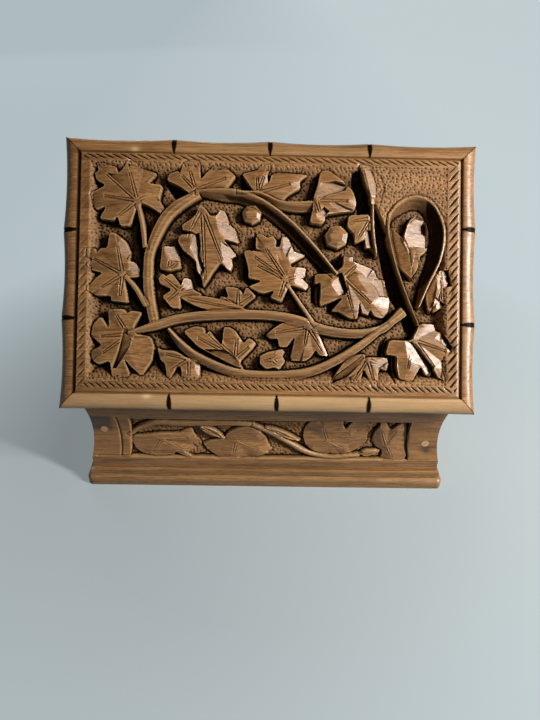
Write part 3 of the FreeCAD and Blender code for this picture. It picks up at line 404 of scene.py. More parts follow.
LID_SHADES = (
    ((174.5, 104), (180, 101.4), (183.3, 93), (183.3, 81), (181, 71), (173.5, 60.8), (168, 59),
     (173.5, 69), (176.3, 78.3), (176.8, 89.4), (175.4, 97.7)),
    ((76, 104.6), (86, 103.6), (97, 99.4), (110, 89.6), (121.5, 78), (130, 68), (123.4, 69),
     (117, 77.4), (108.5, 86.6), (102, 93), (92, 99.4), (80, 101.4)),
)

# Leaves, blades, faces and vines of the front, in millimetres from the body's lower left corner
PANEL_X = (19.8, 168.6)
PANEL_Z = (7.8, 33.4)
PANEL_DEPTH = 2.4
FRONT_LEAVES = (
    (2.2, (36, 19), ((31.5, 10.5), (47, 12), (50, 20)),
     ((20.4, 20), (20.2, 16), (22.4, 12), (26, 9.6), (35, 8.4), (43, 9), (44, 11), (47, 9.2), (50, 8),
      (56, 8.6), (60, 10.2), (57.6, 14.4), (56.4, 16.4), (54, 20.4), (52, 25.4), (48, 24), (45, 22.4),
      (33, 22), (28, 21))),
    (2.3, (76, 18), ((74.6, 10), (86, 22), (88, 13)),
     ((58, 15.4), (61, 11.4), (66.4, 8), (75, 7.8), (82, 8.4), (85.4, 7.8), (90, 9), (95.6, 11.6),
      (93, 16), (92, 20), (88, 26), (86, 28), (82, 27.8), (76, 26.2), (71.4, 23.6), (69.6, 20.2),
      (66, 18.6), (61, 17))),
    (2.3, (125, 19), ((122.6, 28), (137, 23.6), (118, 15), (134, 14)),
     ((112, 20.4), (112, 25), (113.4, 29), (116.6, 33.2), (132.6, 33.2), (133, 29), (134.6, 26.6),
      (137, 31), (139, 32.4), (150, 32.2), (151, 30), (148.4, 26), (146.6, 22.6), (146.8, 19),
      (145.6, 16.8), (140, 12.6), (135, 10.8), (128, 10.2), (121, 11.2), (115.6, 14), (113, 17))),
    (2.3, (157.4, 16), ((162.4, 26), (154, 27), (160, 9)),
     ((149.6, 21), (150.6, 26), (152.6, 29.6), (152.8, 33), (155, 32.6), (158.4, 26.4), (162, 30),
      (166, 32.6), (167.4, 28), (168.2, 22), (167.6, 16), (168.2, 10.4), (166.6, 7.9), (156, 7.9),
      (153.6, 8.4), (154.8, 11.6), (154, 13.6), (151, 15.4), (149.4, 18))),
)
FRONT_BLADES = (
    (2.4, 4.6, (56.6, 27.6), (69.8, 20)),
    (2.4, 3.6, (91, 27.8), (110.6, 18.6)),
    (2.2, 3.4, (142, 10.6), (153.6, 13)),
)
FRONT_FACES = (
    (HALF_LIT, ((50, 25), (52.4, 25.4), (57.6, 15.4), (55.4, 15.6), (51, 21))),
    (HALF_LIT, ((137, 21), (146.8, 20), (146.4, 17), (141, 18))),
)
# Two cuts beside the panel on the left
FRONT_CUT_DEPTH = 0.7
FRONT_CUT_HALF = 0.8
FRONT_CUTS = (((13.4, 33.6), (15.3, 8.6)), ((3.0, 8.4), (20.0, 8.4)))
# The vines' crests with the widths to the left and to the right, as on the lid
FRONT_VINES = (
    (2.4, 0.3, 0.4,
     ((19.4, 21.8, 1.2, 1.2), (25, 26.6, 1.4, 1.5), (34, 29.8, 1.5, 1.5), (45, 29.5, 1.5, 1.6),
      (58, 29.6, 1.6, 1.4), (74, 30, 1.6, 1.4), (85, 29, 1.4, 1.2))),
    (2.4, 0.3, 0.5,
     ((85, 29, 1.2, 1.2), (95, 23.4, 1.2, 1.4), (104, 17.6, 1.2, 1.4), (112, 12.6, 1.2, 1.4),
      (120, 9.9, 1.1, 1.2), (130, 9.1, 1.0, 1.0), (142, 10.2, 0.8, 0.8))),
)


def smooth(share):
    """A soft step from 0 to 1."""
    t = np.clip(share, 0.0, 1.0)
    return t * t * (3.0 - 2.0 * t)


def curve_through(points, steps):
    """A smooth run through points: cubic stretches whose slope at a point follows its two neighbours."""
    p = np.asarray(points, float)
    padded = np.vstack([2 * p[0] - p[1], p, 2 * p[-1] - p[-2]])
    a, b, c, d = (padded[i : len(padded) - 3 + i, None, :] for i in range(4))
    t = np.linspace(0, 1, steps, endpoint=False)[None, :, None]
    run = b + 0.5 * t * (c - a + t * (2 * a - 5 * b + 4 * c - d + t * (3 * (b - c) + d - a)))
    return np.vstack([run.reshape(-1, p.shape[1]), p[-1:]])


def rounded(outline, cut=0.2):
    """A closed outline with each corner cut off at a share of its edges."""
    after = np.roll(outline, -1, axis=0)
    pairs = [outline + (after - outline) * cut, after + (outline - after) * cut]
    return np.stack(pairs, axis=1).reshape(-1, 2)


def inside_distance(x, y, outline):
    """How far each place lies inside a closed outline: distance to the nearest edge, negative outside."""
    a = outline[:, :, None, None]
    b = np.roll(outline, -1, axis=0)[:, :, None, None]
    edge_x, edge_y = b[:, 0] - a[:, 0], b[:, 1] - a[:, 1]
    px, py = x - a[:, 0], y - a[:, 1]
    t = np.clip((px * edge_x + py * edge_y) / (edge_x**2 + edge_y**2), 0, 1)
    nearest = np.sqrt(((px - edge_x * t) ** 2 + (py - edge_y * t) ** 2).min(axis=0))
    level = np.where(edge_y == 0, 1.0, edge_y)
    crossed = ((a[:, 1] > y) != (b[:, 1] > y)) & (px < py * edge_x / level)
    return np.where(crossed.sum(axis=0) % 2 == 1, nearest, -nearest)


def local_mean(values, reach):
    """Mean over the square of grid cells round each place, reach cells to each side."""
    padded = np.pad(values, ((reach + 1, reach), (reach + 1, reach)), mode="edge")
    total = padded.cumsum(axis=0).cumsum(axis=1)
    size = 2 * reach + 1
    area = total[size:, size:] - total[:-size, size:] - total[size:, :-size] + total[:-size, :-size]
    return area / size**2


def scatter(cells_x, cells_y, seed):
    """A repeatable number from 0 to 1 for each grid cell."""
    return np.modf(np.abs(np.sin(cells_x * 12.9898 + cells_y * 78.233 + seed) * 43758.5453))[0]


class Carving:
    """A carved face: a grid of places, x across and y up, with the height of the wood at each."""

    def __init__(self, x_range, y_range, step):
        self.xs = np.linspace(*x_range, int(round((x_range[1] - x_range[0]) / step)) + 1)
        self.ys = np.linspace(*y_range, int(round((y_range[1] - y_range[0]) / step)) + 1)
        self.x, self.y = np.meshgrid(self.xs, self.ys)
        self.height = np.zeros_like(self.x)
        self.dull = np.zeros_like(self.x)
        # Painted shadow and shade in gaps and on vine sides, then pale marks of wear and painted highlight
        self.dark = np.zeros_like(self.x)
        self.rubbed_and_painted_highlight = np.zeros_like(self.x)
        self.step = step

    def window(self, points, margin):
        """The part of the grid round some points."""
        low, high = points.min(axis=0) - margin, points.max(axis=0) + margin
        i0, i1 = np.searchsorted(self.ys, (low[1], high[1]))
        j0, j1 = np.searchsorted(self.xs, (low[0], high[0]))
        return np.s_[i0:i1, j0:j1]

    def stand(self, window, inside, top):
        """Raises a form: a fine cut is set in round its foot, then its steep wall rises to its top."""
        foot = np.exp(-((np.minimum(inside + WALL_HALF, 0) / SET_IN_REACH) ** 2)) * (inside < -WALL_HALF)
        low = self.height[window] - SET_IN * foot
        wall = smooth((inside + WALL_HALF) / (2 * WALL_HALF))
        self.height[window] = np.maximum(low, low + (top - low) * wall)

    def leaf(self, base, crest, heart, veins, outline):
        """A lobed leaf: from each vein the top falls to both sides, each side by its own pitch.

        A vein runs from the heart as a double cut that draws together towards its end.
        """
        outline = rounded(np.array(outline, float), CORNER_CUT)
        window = self.window(outline, 3.0)
        x, y = self.x[window] - heart[0], self.y[window] - heart[1]
        ends = (np.array(veins, float) - heart)[:, :, None, None]
        length = np.hypot(ends[:, 0], ends[:, 1])
        along = (ends[:, 0] * x + ends[:, 1] * y) / length**2
        across = (ends[:, 0] * y - ends[:, 1] * x) / length
        off = np.hypot(across, np.maximum(np.abs(along - 0.5) - 0.5, 0) * length)
        lean = scatter(np.arange(2 * len(veins)), heart[0], heart[1]).reshape(2, -1, 1, 1)
        pitch = FOLD + FOLD_MORE * np.where(across > 0, lean[0], lean[1])
        top = base + crest - (pitch * off).min(axis=0)
        off_vein = np.abs(np.abs(across) - VEIN_GAP / 2 * (1 - 0.5 * along))
        vein = np.clip(1 - off_vein / VEIN_HALF, 0, 1) * (along > 0.12) * (along < 1)
        inside = inside_distance(self.x[window], self.y[window], outline)
        self.stand(window, inside, top - VEIN_DEPTH * min(1, crest / 5) * vein.max(axis=0))

    def blade(self, base, crest, width, root, tip):
        """A slim leaf: its edges swell as a sine from root to tip, and a double vein runs along its fold."""
        root, tip = np.array(root, float), np.array(tip, float)
        length = np.hypot(*(tip - root))
        aim = (tip - root) / length
        side = np.array([-aim[1], aim[0]])
        share = np.linspace(0.01, 0.99, 24)[:, None]
        swell = np.sin(np.pi * share**0.8) * width / 2
        spine = root + (tip - root) * share
        outline = np.vstack([spine + side * swell, (spine - side * swell)[::-1]])
        window = self.window(outline, 3.0)
        x, y = self.x[window], self.y[window]
        along = ((x - root[0]) * aim[0] + (y - root[1]) * aim[1]) / length
        across = (x - root[0]) * side[0] + (y - root[1]) * side[1]
        top = base + crest - FOLD * np.abs(across)
        off_vein = np.abs(np.abs(across) - VEIN_GAP / 2 * (1 - along))
        vein = np.clip(1 - off_vein / VEIN_HALF, 0, 1) * (along > 0.08) * (along < 0.85)
        self.stand(window, inside_distance(x, y, outline), top - VEIN_DEPTH * vein)

    def pare(self, ground, fall, outline):
        """A face pared flat: inside its outline the wood is cut to a plane from the highest wood there."""
        outline = np.array(outline, float)
        window = self.window(outline, 1.0)
        x, y, height = self.x[window], self.y[window], self.height[window]
        inside = inside_distance(x, y, outline)
        level = height[inside > 0].max()
        ends = outline @ np.array(fall)
        plane = level - (fall[0] * x + fall[1] * y - ends.min()) * min(1, FACE_DROP / np.ptp(ends))
        plane = np.maximum(plane, ground + FACE_FLOOR)
        share = smooth(inside / FACE_EDGE + 0.5) * (height > ground + 1.5)
        self.height[window] = height + np.minimum(plane - height, 0) * share

    def gap(self, limit, depth, outline):
        """A gap: inside its outline the wood below a limit is cut deeper and painted dark as shadow."""
        outline = np.array(outline, float)
        window = self.window(outline, 1.0)
        share = smooth(inside_distance(self.x[window], self.y[window], outline) / 1.2 + 0.5)
        share = share * (self.height[window] < limit[window])
        self.height[window] -= depth * share
        self.dark[window] = np.maximum(self.dark[window], share)

    def berry(self, base, crest, radius, centre, sides=7):
        """A berry: a flat top with leaning faces round it."""
        turn = np.arange(sides) * (2 * np.pi / sides) + 0.3
        aim = np.stack([np.cos(turn), np.sin(turn)], axis=1)
        outline = np.array(centre) + aim * radius
        window = self.window(outline, 3.0)
        x, y = self.x[window] - centre[0], self.y[window] - centre[1]
        face = aim + np.roll(aim, -1, axis=0)
        face = (face / np.hypot(*face.T)[:, None])[:, :, None, None]
        out = (face[:, 0] * x + face[:, 1] * y).max(axis=0)
        top = base + crest - 0.55 * np.maximum(out - 0.5 * radius, 0)
        self.stand(window, inside_distance(self.x[window], self.y[window], outline), top)

    def vine(self, base, crest, left_fall, right_fall, run):
        """A vine along a crest line: it falls from the crest to an edge on each side, then to the ground.

        The crest is painted pale, as wear and painted highlight, and a side that falls far is painted dark,
        as shade.
        """
        path = curve_through(run, 24)
        tangent = np.gradient(path[:, :2], axis=0)
        tangent = tangent / np.hypot(*tangent.T)[:, None]
        spacing = np.hypot(*np.diff(path[:, :2], axis=0).T).max()
        inside = np.full_like(self.x, -9.0)
        top, shade, line = np.zeros((3,) + self.x.shape)
        for start in range(0, len(path) - 1, 12):
            part = slice(start, start + 13)
            spine, aim = path[part], tangent[part]
            window = self.window(spine[:, :2], spine[:, 2:].max() + 2.0)
            x, y = self.x[window], self.y[window]
            off_x, off_y = x - spine[:, 0, None, None], y - spine[:, 1, None, None]
            nearest = (off_x**2 + off_y**2).argmin(axis=0)
            to_x, to_y = x - spine[nearest, 0], y - spine[nearest, 1]
            side = aim[nearest, 0] * to_y - aim[nearest, 1] * to_x
            past = np.abs(aim[nearest, 0] * to_x + aim[nearest, 1] * to_y)
            left, right = spine[nearest, 2], spine[nearest, 3]
            share = np.where(side > 0, side / left, -side / right)
            fall = np.where(side > 0, left_fall, right_fall) * np.minimum(share, 1.0)
            here = np.minimum(np.minimum(left - side, right + side), spacing - past)
            nearer = here > inside[window]
            top[window] = np.where(nearer, base + crest - fall, top[window])
            # Painted shade on a side that falls far, painted highlight with wear along the crest
            shade[window] = np.where(nearer, VINE_SHADE * smooth(fall - 0.5), shade[window])
            line[window] = np.where(nearer, VINE_RUB_AND_HIGHLIGHT * np.exp(-((side / VINE_RUB_HALF) ** 2)), line[window])
            inside[window] = np.maximum(here, inside[window])
        window = self.window(path[:, :2], path[:, 2:].max() + 3.0)
        own = inside[window] > 0
        self.dark[window] = np.where(own, shade[window], self.dark[window])
        self.rubbed_and_painted_highlight[window] = np.where(own, line[window], self.rubbed_and_painted_highlight[window])
        self.stand(window, inside[window], top[window])

    def cut(self, depth, half, start, end):
        """A straight V-cut between two places."""
        run_x, run_y = end[0] - start[0], end[1] - start[1]
        share = ((self.x - start[0]) * run_x + (self.y - start[1]) * run_y) / (run_x**2 + run_y**2)
        share = np.clip(share, 0, 1)
        off = np.hypot(self.x - start[0] - share * run_x, self.y - start[1] - share * run_y)
        self.height -= depth * np.clip(1 - off / half, 0, 1)

    def matting(self, ground):
        """Punched ground: a small dent, drawn out down to the right, in each cell of a jittered grid."""
        flat = smooth(1.6 - np.abs(self.height - ground) / 0.5)
        cell_x, cell_y = np.floor(self.x / MAT_PITCH), np.floor(self.y / MAT_PITCH)
        nearest = np.full_like(self.x, 9.0)
        for dx in (-1, 0, 1):
            for dy in (-1, 0, 1):
                cx, cy = cell_x + dx, cell_y + dy
                off_x = (cx + scatter(cx, cy, 1.0)) * MAT_PITCH - self.x
                off_y = (cy + scatter(cx, cy, 2.0)) * MAT_PITCH - self.y
                size = 0.7 + 0.6 * scatter(cx, cy, 3.0)
                nearest = np.minimum(nearest, (off_x**2 + off_y**2 + 0.6 * off_x * off_y) / size)
        self.height -= MAT_DEPTH * np.exp(-nearest / MAT_RADIUS**2) * flat
        self.dull = flat

    def stain_and_painted_shade(self, top, depth):
        """How dark each place is painted, from 0 on top to about 1: hollows as stain and painted shade, gaps
        as painted shadow.
        """
        wide = local_mean(self.height, int(WIDE_REACH / self.step)) - self.height
        near = local_mean(self.height, int(NEAR_REACH / self.step)) - self.height
        low = np.clip((top - self.height) / depth, 0, 1)
        hollow = np.clip(wide / WIDE_FULL, 0, 1) * WIDE_SHARE
        corner = np.clip(near / NEAR_FULL, 0, 1) * NEAR_SHARE
        return np.maximum(hollow + corner + LOW_SHARE * low, GAP_SHARE * self.dark)

    def wear_and_painted_highlight(self):
        """How far each place stands out as an edge, which is painted paler, as wear from hands and as
        painted highlight.
        """
        above = self.height - local_mean(self.height, int(NEAR_REACH / self.step))
        return np.maximum(np.clip(above / EDGE_FULL, 0, 1), self.rubbed_and_painted_highlight)


def grid_faces(rows, columns, flip=False):
    """Four-sided faces of a grid of points, row by row."""
    corner = np.arange(rows * columns).reshape(rows, columns)
    loop = [corner[:-1, :-1], corner[:-1, 1:], corner[1:, 1:], corner[1:, :-1]]
    faces = np.stack(loop[::-1] if flip else loop, axis=-1).reshape(-1, 4)
    return faces.tolist()


def on_slope(x, v, n):
    """Places of the lid's flat frame on the box."""
    y = FRONT_Y + v * math.cos(SLOPE) - n * math.sin(SLOPE)
    z = FRONT_TOP + v * math.sin(SLOPE) + n * math.cos(SLOPE)
    return np.stack([x, y, z], axis=-1)


def make_piece(name, points, faces, material, body, node, values=None):
    """A mesh piece that rides a body and stands for a CAD node, with named numbers on its points."""
    mesh = bpy.data.meshes.new(name)
    mesh.from_pydata((np.reshape(points, (-1, 3)) * MM).tolist(), [], faces)
    for key, numbers in (values or {}).items():
        attribute = mesh.attributes.new(key, "FLOAT", "POINT")
        attribute.data.foreach_set("value", np.ravel(numbers).astype(np.float32))
    mesh.polygons.foreach_set("use_smooth", np.ones(len(mesh.polygons), bool))
    mesh.set_sharp_from_angle(angle=math.radians(35))
    mesh.materials.append(material)
    made = bpy.data.objects.new(name, mesh)
    bpy.context.scene.collection.objects.link(made)
    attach(made, body)
    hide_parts(node)
    return made


def linear(hex_colour):
    """A colour written as sRGB hex, as the linear colour that a shader takes."""
    parts = [int(hex_colour[i : i + 2], 16) / 255 for i in (1, 3, 5)]
    return [p / 12.92 if p <= 0.04045 else ((p + 0.055) / 1.055) ** 2.4 for p in parts] + [1.0]


def new_material(name):
    """An empty material with nodes."""
    made = bpy.data.materials.new(name)
    made.use_nodes = True
    made.node_tree.nodes.clear()
    return made


def add(material, kind, settings, inputs):
    """Adds a node with its settings, each input a value or the output of another node."""
    made = material.node_tree.nodes.new(kind)
    for key, value in settings.items():
        setattr(made, key, value)
    for key, value in inputs.items():
        if isinstance(value, bpy.types.NodeSocket):
            material.node_tree.links.new(value, made.inputs[key])
        else:
            made.inputs[key].default_value = value
    return made


def grain(material, length, width, axis, detail, roughness):
    """Noise from 0 to 1 drawn out along the grain: length and width of a streak in millimetres."""
    place = add(material, "ShaderNodeTexCoord", {}, {}).outputs["Object"]
    scale = [1 / (width * MM)] * 3
    scale[axis] = 1 / (length * MM)
    drawn = add(material, "ShaderNodeMapping", {}, {"Vector": place, "Scale": scale}).outputs["Vector"]
    inputs = {"Vector": drawn, "Scale": 1.0, "Detail": detail, "Roughness": roughness}
    return add(material, "ShaderNodeTexNoise", {}, inputs).outputs["Fac"]


def spread(material, value, low, high):
    """A number stretched so that low becomes 0 and high becomes 1."""
    inputs = {"Value": value, "From Min": low, "From Max": high}
    return add(material, "ShaderNodeMapRange", {}, inputs).outputs["Result"]


def blend(material, share, first, second, kind="MIX"):
    """Two colours mixed by a share."""
    settings = {"data_type": "RGBA", "blend_type": kind}
    return add(material, "ShaderNodeMix", settings, {0: share, 6: first, 7: second}).outputs[2]


def walnut(name, axis, dark, light, carved=False):
    """Oiled walnut: broad bands, fine fibres and short dark pores along the grain, with a soft sheen.

    Carved walnut is painted nearly black in its hollows, as stain and as painted shade, and paler on raised
    edges, as wear and as painted highlight.
    """
    made = new_material(name)
    bands = spread(made, grain(made, 70, 5.0, axis, 3.0, 0.55), 0.3, 0.7)
    # Real fibres and pores are finer, and are drawn wider here so that they show
    fibres = grain(made, 16, 0.7, axis, 2.0, 0.6)
    pores = spread(made, grain(made, 3.5, 0.32, axis, 0.0, 0.5), 0.62, 0.74)
    colour = blend(made, bands, linear(dark), linear(light))
    pale = blend(made, 0.5, colour, linear("#c79b66"))
    colour = blend(made, spread(made, fibres, 0.35, 0.75), colour, pale)
    pored = add(made, "ShaderNodeMath", {"operation": "MULTIPLY"}, {0: pores, 1: 0.45}).outputs[0]
    colour = blend(made, pored, colour, linear("#35220f"))
    if carved:
        deep = add(made, "ShaderNodeAttribute", {"attribute_name": "stain_and_painted_shade"}, {}).outputs["Fac"]
        wear_and_painted_highlight = add(made, "ShaderNodeAttribute", {"attribute_name": "wear_and_painted_highlight"}, {}).outputs["Fac"]
        stain = add(made, "ShaderNodeAttribute", {"attribute_name": "stain"}, {}).outputs["Fac"]
        # Painted shade and shadow, with some stain: hollows and gaps go nearly black
        colour = blend(made, spread(made, deep, 0.05, 0.78), colour, linear("#140b05"))
        # Painted highlight with wear: raised edges and vine crests go pale
        colour = blend(made, spread(made, wear_and_painted_highlight, 0.0, 3.2), colour, linear("#dcb988"))
        colour = blend(made, stain, colour, linear("#2a211c"))
    mottle = grain(made, 5, 1.6, axis, 3.0, 0.6)
    limits = {"Value": mottle, "From Min": 0.3, "From Max": 0.7, "To Min": 0.26, "To Max": 0.5}
    rough = add(made, "ShaderNodeMapRange", {}, limits).outputs["Result"]
    if carved:
        dull = add(made, "ShaderNodeAttribute", {"attribute_name": "dull"}, {}).outputs["Fac"]
        duller = {0: dull, 1: 0.35, 2: rough}
        rough = add(made, "ShaderNodeMath", {"operation": "MULTIPLY_ADD"}, duller).outputs[0]
    bump = add(made, "ShaderNodeBump", {}, {"Strength": 0.25, "Distance": 0.0002, "Height": fibres})
    inputs = {"Base Color": colour, "Roughness": rough, "Normal": bump.outputs["Normal"]}
    if carved:
        sheen = {"Value": deep, "From Min": 0.1, "From Max": 0.7, "To Min": 0.5, "To Max": 0.03}
        inputs["Specular IOR Level"] = add(made, "ShaderNodeMapRange", {}, sheen).outputs["Result"]
    shader = add(made, "ShaderNodeBsdfPrincipled", {}, inputs)
    add(made, "ShaderNodeOutputMaterial", {}, {"Surface": shader.outputs[0]})
    return made


def speckled(name, colours, size, roughness, metallic):
    """A material with small mottled patches between two colours: tarnish, rust or the grit of a filler."""
    made = new_material(name)
    patches = spread(made, grain(made, size, size, 0, 3.0, 0.6), 0.35, 0.65)
    colour = blend(made, patches, linear(colours[0]), linear(colours[1]))
    inputs = {"Base Color": colour, "Roughness": roughness, "Metallic": metallic}
    shader = add(made, "ShaderNodeBsdfPrincipled", {}, inputs)
    add(made, "ShaderNodeOutputMaterial", {}, {"Surface": shader.outputs[0]})
    return made


CARVED_WALNUT = walnut("carved_walnut_oiled", 0, "#5c391b", "#8a5d32", carved=True)
WALNUT_ACROSS = walnut("planed_walnut_grain_across", 0, "#5f4228", "#8a6640")
WALNUT_DEEP = walnut("planed_walnut_grain_front_to_back", 1, "#5a3e25", "#82603b")
# Brass gone dull: a yellow metal with brown patches
BRASS = speckled("tarnished_brass", ("#8a6a33", "#b8924d"), 3.0, 0.42, 1.0)
# Iron with a skin of rust: nearly black and hardly shining
IRON = speckled("rusty_iron", ("#2b2624", "#4a3a30"), 1.2, 0.7, 1.0)
# Filler dried over the nails: pale, grainy and without shine
FILLER = speckled("dried_wood_filler", ("#a98760", "#c7a880"), 0.9, 0.75, 0.0)


def rope_cuts(x, y, edges):
    """Depth of the rope band's slanting cuts, each widest halfway across the band and pointed at both ends.

    Up the left side they get fainter.
    """
    side, inward = edges.argmin(axis=0), edges.min(axis=0)
    near, far, slant, pitch, depth = np.array(ROPES)[side].transpose(2, 0, 1)
    run = np.where(side < 2, y, x) + slant * inward
    off = np.abs(np.modf(run / pitch + 100)[0] - 0.5) * pitch
    swell = np.sin(np.pi * np.clip((inward - near) / (far - near), 0, 1))
    faint = ROPE_FAINT + (1 - ROPE_FAINT) * smooth((ROPE_FAINT_FROM - y) / ROPE_FADE)
    depth = depth * np.where(side == 0, faint, 1)
    return depth * np.sqrt(swell) * np.clip(1 - off / (ROPE_CUT_SHARE * pitch * swell + 0.01), 0, 1)


def lid_field():
    """The lid's face inside the border: a rope band round a punched ground with leaves and vines."""
    half = LID_WIDTH / 2 - BORDER
    face = Carving((-half, half), (LID_FRONT + BORDER, LID_BACK - BORDER), FIELD_STEP)
    face.x += LID_WIDTH / 2
    face.y -= LID_FRONT
    face.xs += LID_WIDTH / 2
    face.ys -= LID_FRONT
    from_left, from_right = face.x - BORDER, LID_WIDTH - BORDER - face.x
    from_front, from_back = face.y - BORDER, LID_LENGTH - BORDER - face.y
    edges = np.stack([from_left, from_right, from_front, from_back])
    widths, dishes, seams = np.array([ROPE_WIDTHS, DISH_WIDTHS, SEAM_WIDTHS])[:, :, None, None]
    inward = (edges - widths).min(axis=0)
    ground = ROPE_N - (GROUND_DEPTH - ROPE_DROP) * smooth(((edges - widths) / dishes).min(axis=0))
    high = smooth(inside_distance(face.x, face.y, np.array(PLATEAU, float)) / PLATEAU_EDGE + 0.5)
    ground = np.maximum(ground, ground + (GROUND_N + PLATEAU_HEIGHT - ground) * high)
    face.height[:] = ground
    for leaf in LID_LEAVES:
        face.leaf(GROUND_N, *leaf)
    for blade in LID_BLADES:
        face.blade(GROUND_N, *blade)
    for pared in LID_FACES:
        face.pare(GROUND_N, *pared)
    for berry in LID_BERRIES:
        face.berry(GROUND_N, *berry)
    for vine in LID_VINES:
        face.vine(GROUND_N, *vine)
    face.matting(np.where(inward > 0.3, ground, -99))
    for outline in LID_SHADOW_GAPS:
        face.gap(ground + GAP_LIMIT, GAP_DEPTH, outline)
    for outline in LID_SHADES:
        face.gap(np.full_like(ground, GROUND_N + SHADE_LIMIT), 0.0, outline)
    face.dull = np.maximum(face.dull, face.dark)
    face.height -= rope_cuts(face.x, face.y, edges)
    face.height -= SEAM_DEPTH * np.clip(1 - (edges / seams).min(axis=0), 0, 1)
    return face


def lid_carving():
    """Lays the lid's field on the slope in four pieces that meet edge to edge."""
    face = lid_field()
    points = on_slope(face.x - LID_WIDTH / 2, face.y + LID_FRONT, face.height)
    # Painted shade: darker towards the board's left, away from the window lamp
    darker = LEFT_PAINTED_SHADE * smooth((LEFT_PAINTED_SHADE_FROM - face.x) / LEFT_PAINTED_SHADE_FADE)
    stain_and_painted_shade = face.stain_and_painted_shade(ROPE_N, GROUND_DEPTH) + darker
    values = {"stain_and_painted_shade": stain_and_painted_shade, "wear_and_painted_highlight": face.wear_and_painted_highlight(), "stain": np.zeros_like(face.x), "dull": face.dull}
    middle_row, middle_column = face.x.shape[0] // 2, face.x.shape[1] // 2
    rows = {"lower": np.s_[: middle_row + 1], "upper": np.s_[middle_row:]}
    columns = {"left": np.s_[: middle_column + 1], "right": np.s_[middle_column:]}
    for row_name, row in rows.items():
        for column_name, column in columns.items():
            part = points[row, column]
            faces = grid_faces(*part.shape[:2])
            numbers = {key: value[row, column] for key, value in values.items()}
            name = f"lid_carving_{row_name}_{column_name}"
            make_piece(name, part, faces, CARVED_WALNUT, "lid", "lid_board", numbers)


def border_side(length, joints, seam_dark_and_shade, swell):
    """One side of the border: along, inset and height of each point, and how dark it is: painted shade in
    its cuts, a dark seam with painted shade.

    The section is swept along the side. Between two joints of the cane the edge dips inwards on a
    parabola, at a joint a boat-shaped cut crosses it, and at both ends a finer cut follows the mitre.
    """
    section = curve_through(BORDER_SECTION, 4)
    inset, height = section[:, 0], section[:, 1]
    tangent = np.gradient(section, axis=0)
    tangent = tangent / np.hypot(*tangent.T)[:, None]
    out_n, out_d = -tangent[:, 0], -tangent[:, 1]
    share = np.linspace(0, 1, int(length / 0.4) + 1)[:, None]
    along = inset + (length - 2 * inset) * share
    stops = np.array((0.0,) + tuple(joints) + (1.0,)) * length
    index = np.clip(np.searchsorted(stops, along, side="right") - 1, 0, len(stops) - 2)
    between = (along - stops[index]) / (stops[index + 1] - stops[index])
    outer = np.clip(1 - inset / BORDER, 0, 1) * (height > LID_GAP + 0.01)
    dip = swell * (1 - (2 * between - 1) ** 2) * outer
    offs = np.abs(along[..., None] - stops[1:-1])
    half = NOTCH_HALF * np.sin(np.pi * np.clip(0.2 + 0.72 * inset / BORDER, 0, 1))
    notch = np.clip(1 - offs.min(axis=-1) / half, 0, 1)
    depth = NOTCH_OUTSIDE + (NOTCH_INSIDE - NOTCH_OUTSIDE) * np.clip(inset / BORDER, 0, 1)
    top = smooth((height - 3.0) / 3.0)
    from_end = np.minimum(along - inset, length - inset - along)
    mitre = np.clip(1 - from_end / MITRE_HALF, 0, 1) * MITRE_DEPTH
    sunk = (notch * depth + mitre) * top
    d = inset + dip - sunk * out_d * 0.15
    n = height - sunk * np.maximum(out_n, 0)
    # Painted shade in notch and mitre cuts; a dark seam line, stronger on sides turned from the light
    cut = np.maximum(smooth(2.5 * notch), mitre / MITRE_DEPTH * 0.8) * top
    seam = seam_dark_and_shade * np.clip(1.6 - (BORDER - inset) / (0.3 + 0.7 * seam_dark_and_shade), 0, 1)
    return along, d, n, np.clip(cut + seam, 0, 1)


def lid_border():
    """The jointed-cane border: four mitred sides in one piece."""
    half, points, faces, stain_and_painted_shade, wear_and_painted_highlight = LID_WIDTH / 2, [], [], [], []
    no_paling = (0.0, 0.0, 0.0)
    # Each side's length, joints, seam dark as a line and as painted shade, dip between joints, how much
    # paler it is at its start, middle and end as wear and painted light, the place of a pale chip, where the
    # side lies and whether its faces turn over
    sides = (
        (LID_WIDTH, FRONT_JOINTS, 0.5, 0.2, (0.9, 1.7, 1.2), 42.5,
         lambda a, d: (-half + a, LID_FRONT + d), False),
        (LID_LENGTH, RIGHT_JOINTS, 0.2, CANE_SWELL, no_paling, None,
         lambda a, d: (half - d, LID_FRONT + a), False),
        (LID_WIDTH, BACK_JOINTS, 0.15, CANE_SWELL, (0.0, 0.45, 0.1), 34.5,
         lambda a, d: (-half + a, LID_BACK - d), True),
        (LID_LENGTH, LEFT_JOINTS, 0.8, CANE_SWELL, no_paling, None,
         lambda a, d: (-half + d, LID_FRONT + a), True),
    )
    for length, joints, seam_dark_and_shade, swell, pale, chip, place, flip in sides:
        along, d, n, deep = border_side(length, joints, seam_dark_and_shade, swell)
        first = sum(len(p) for p in points)
        faces += (np.array(grid_faces(*along.shape, flip=not flip)) + first).tolist()
        points.append(on_slope(*place(along, d), n).reshape(-1, 3))
        stain_and_painted_shade.append(deep.ravel())
        # Paler along the front and back as wear and as painted light; a pale chip on top
        rubbed_and_painted_highlight = np.interp(along / length, (0.0, 0.5, 1.0), pale) * (1 - deep)
        if chip is not None:
            off = ((along - chip) / CHIP_LENGTH) ** 2 + ((d - CHIP_INSET) / CHIP_WIDTH) ** 2
            rubbed_and_painted_highlight = rubbed_and_painted_highlight + CHIP_PALE * np.exp(-off)
        wear_and_painted_highlight.append(rubbed_and_painted_highlight.ravel())
    stain_and_painted_shade = np.concatenate(stain_and_painted_shade)
    none = np.zeros_like(stain_and_painted_shade)
    values = {"stain_and_painted_shade": stain_and_painted_shade, "wear_and_painted_highlight": np.concatenate(wear_and_painted_highlight), "stain": none, "dull": none}
    points = np.vstack(points)
    make_piece("lid_border", points, faces, CARVED_WALNUT, "lid", "lid_board", values)


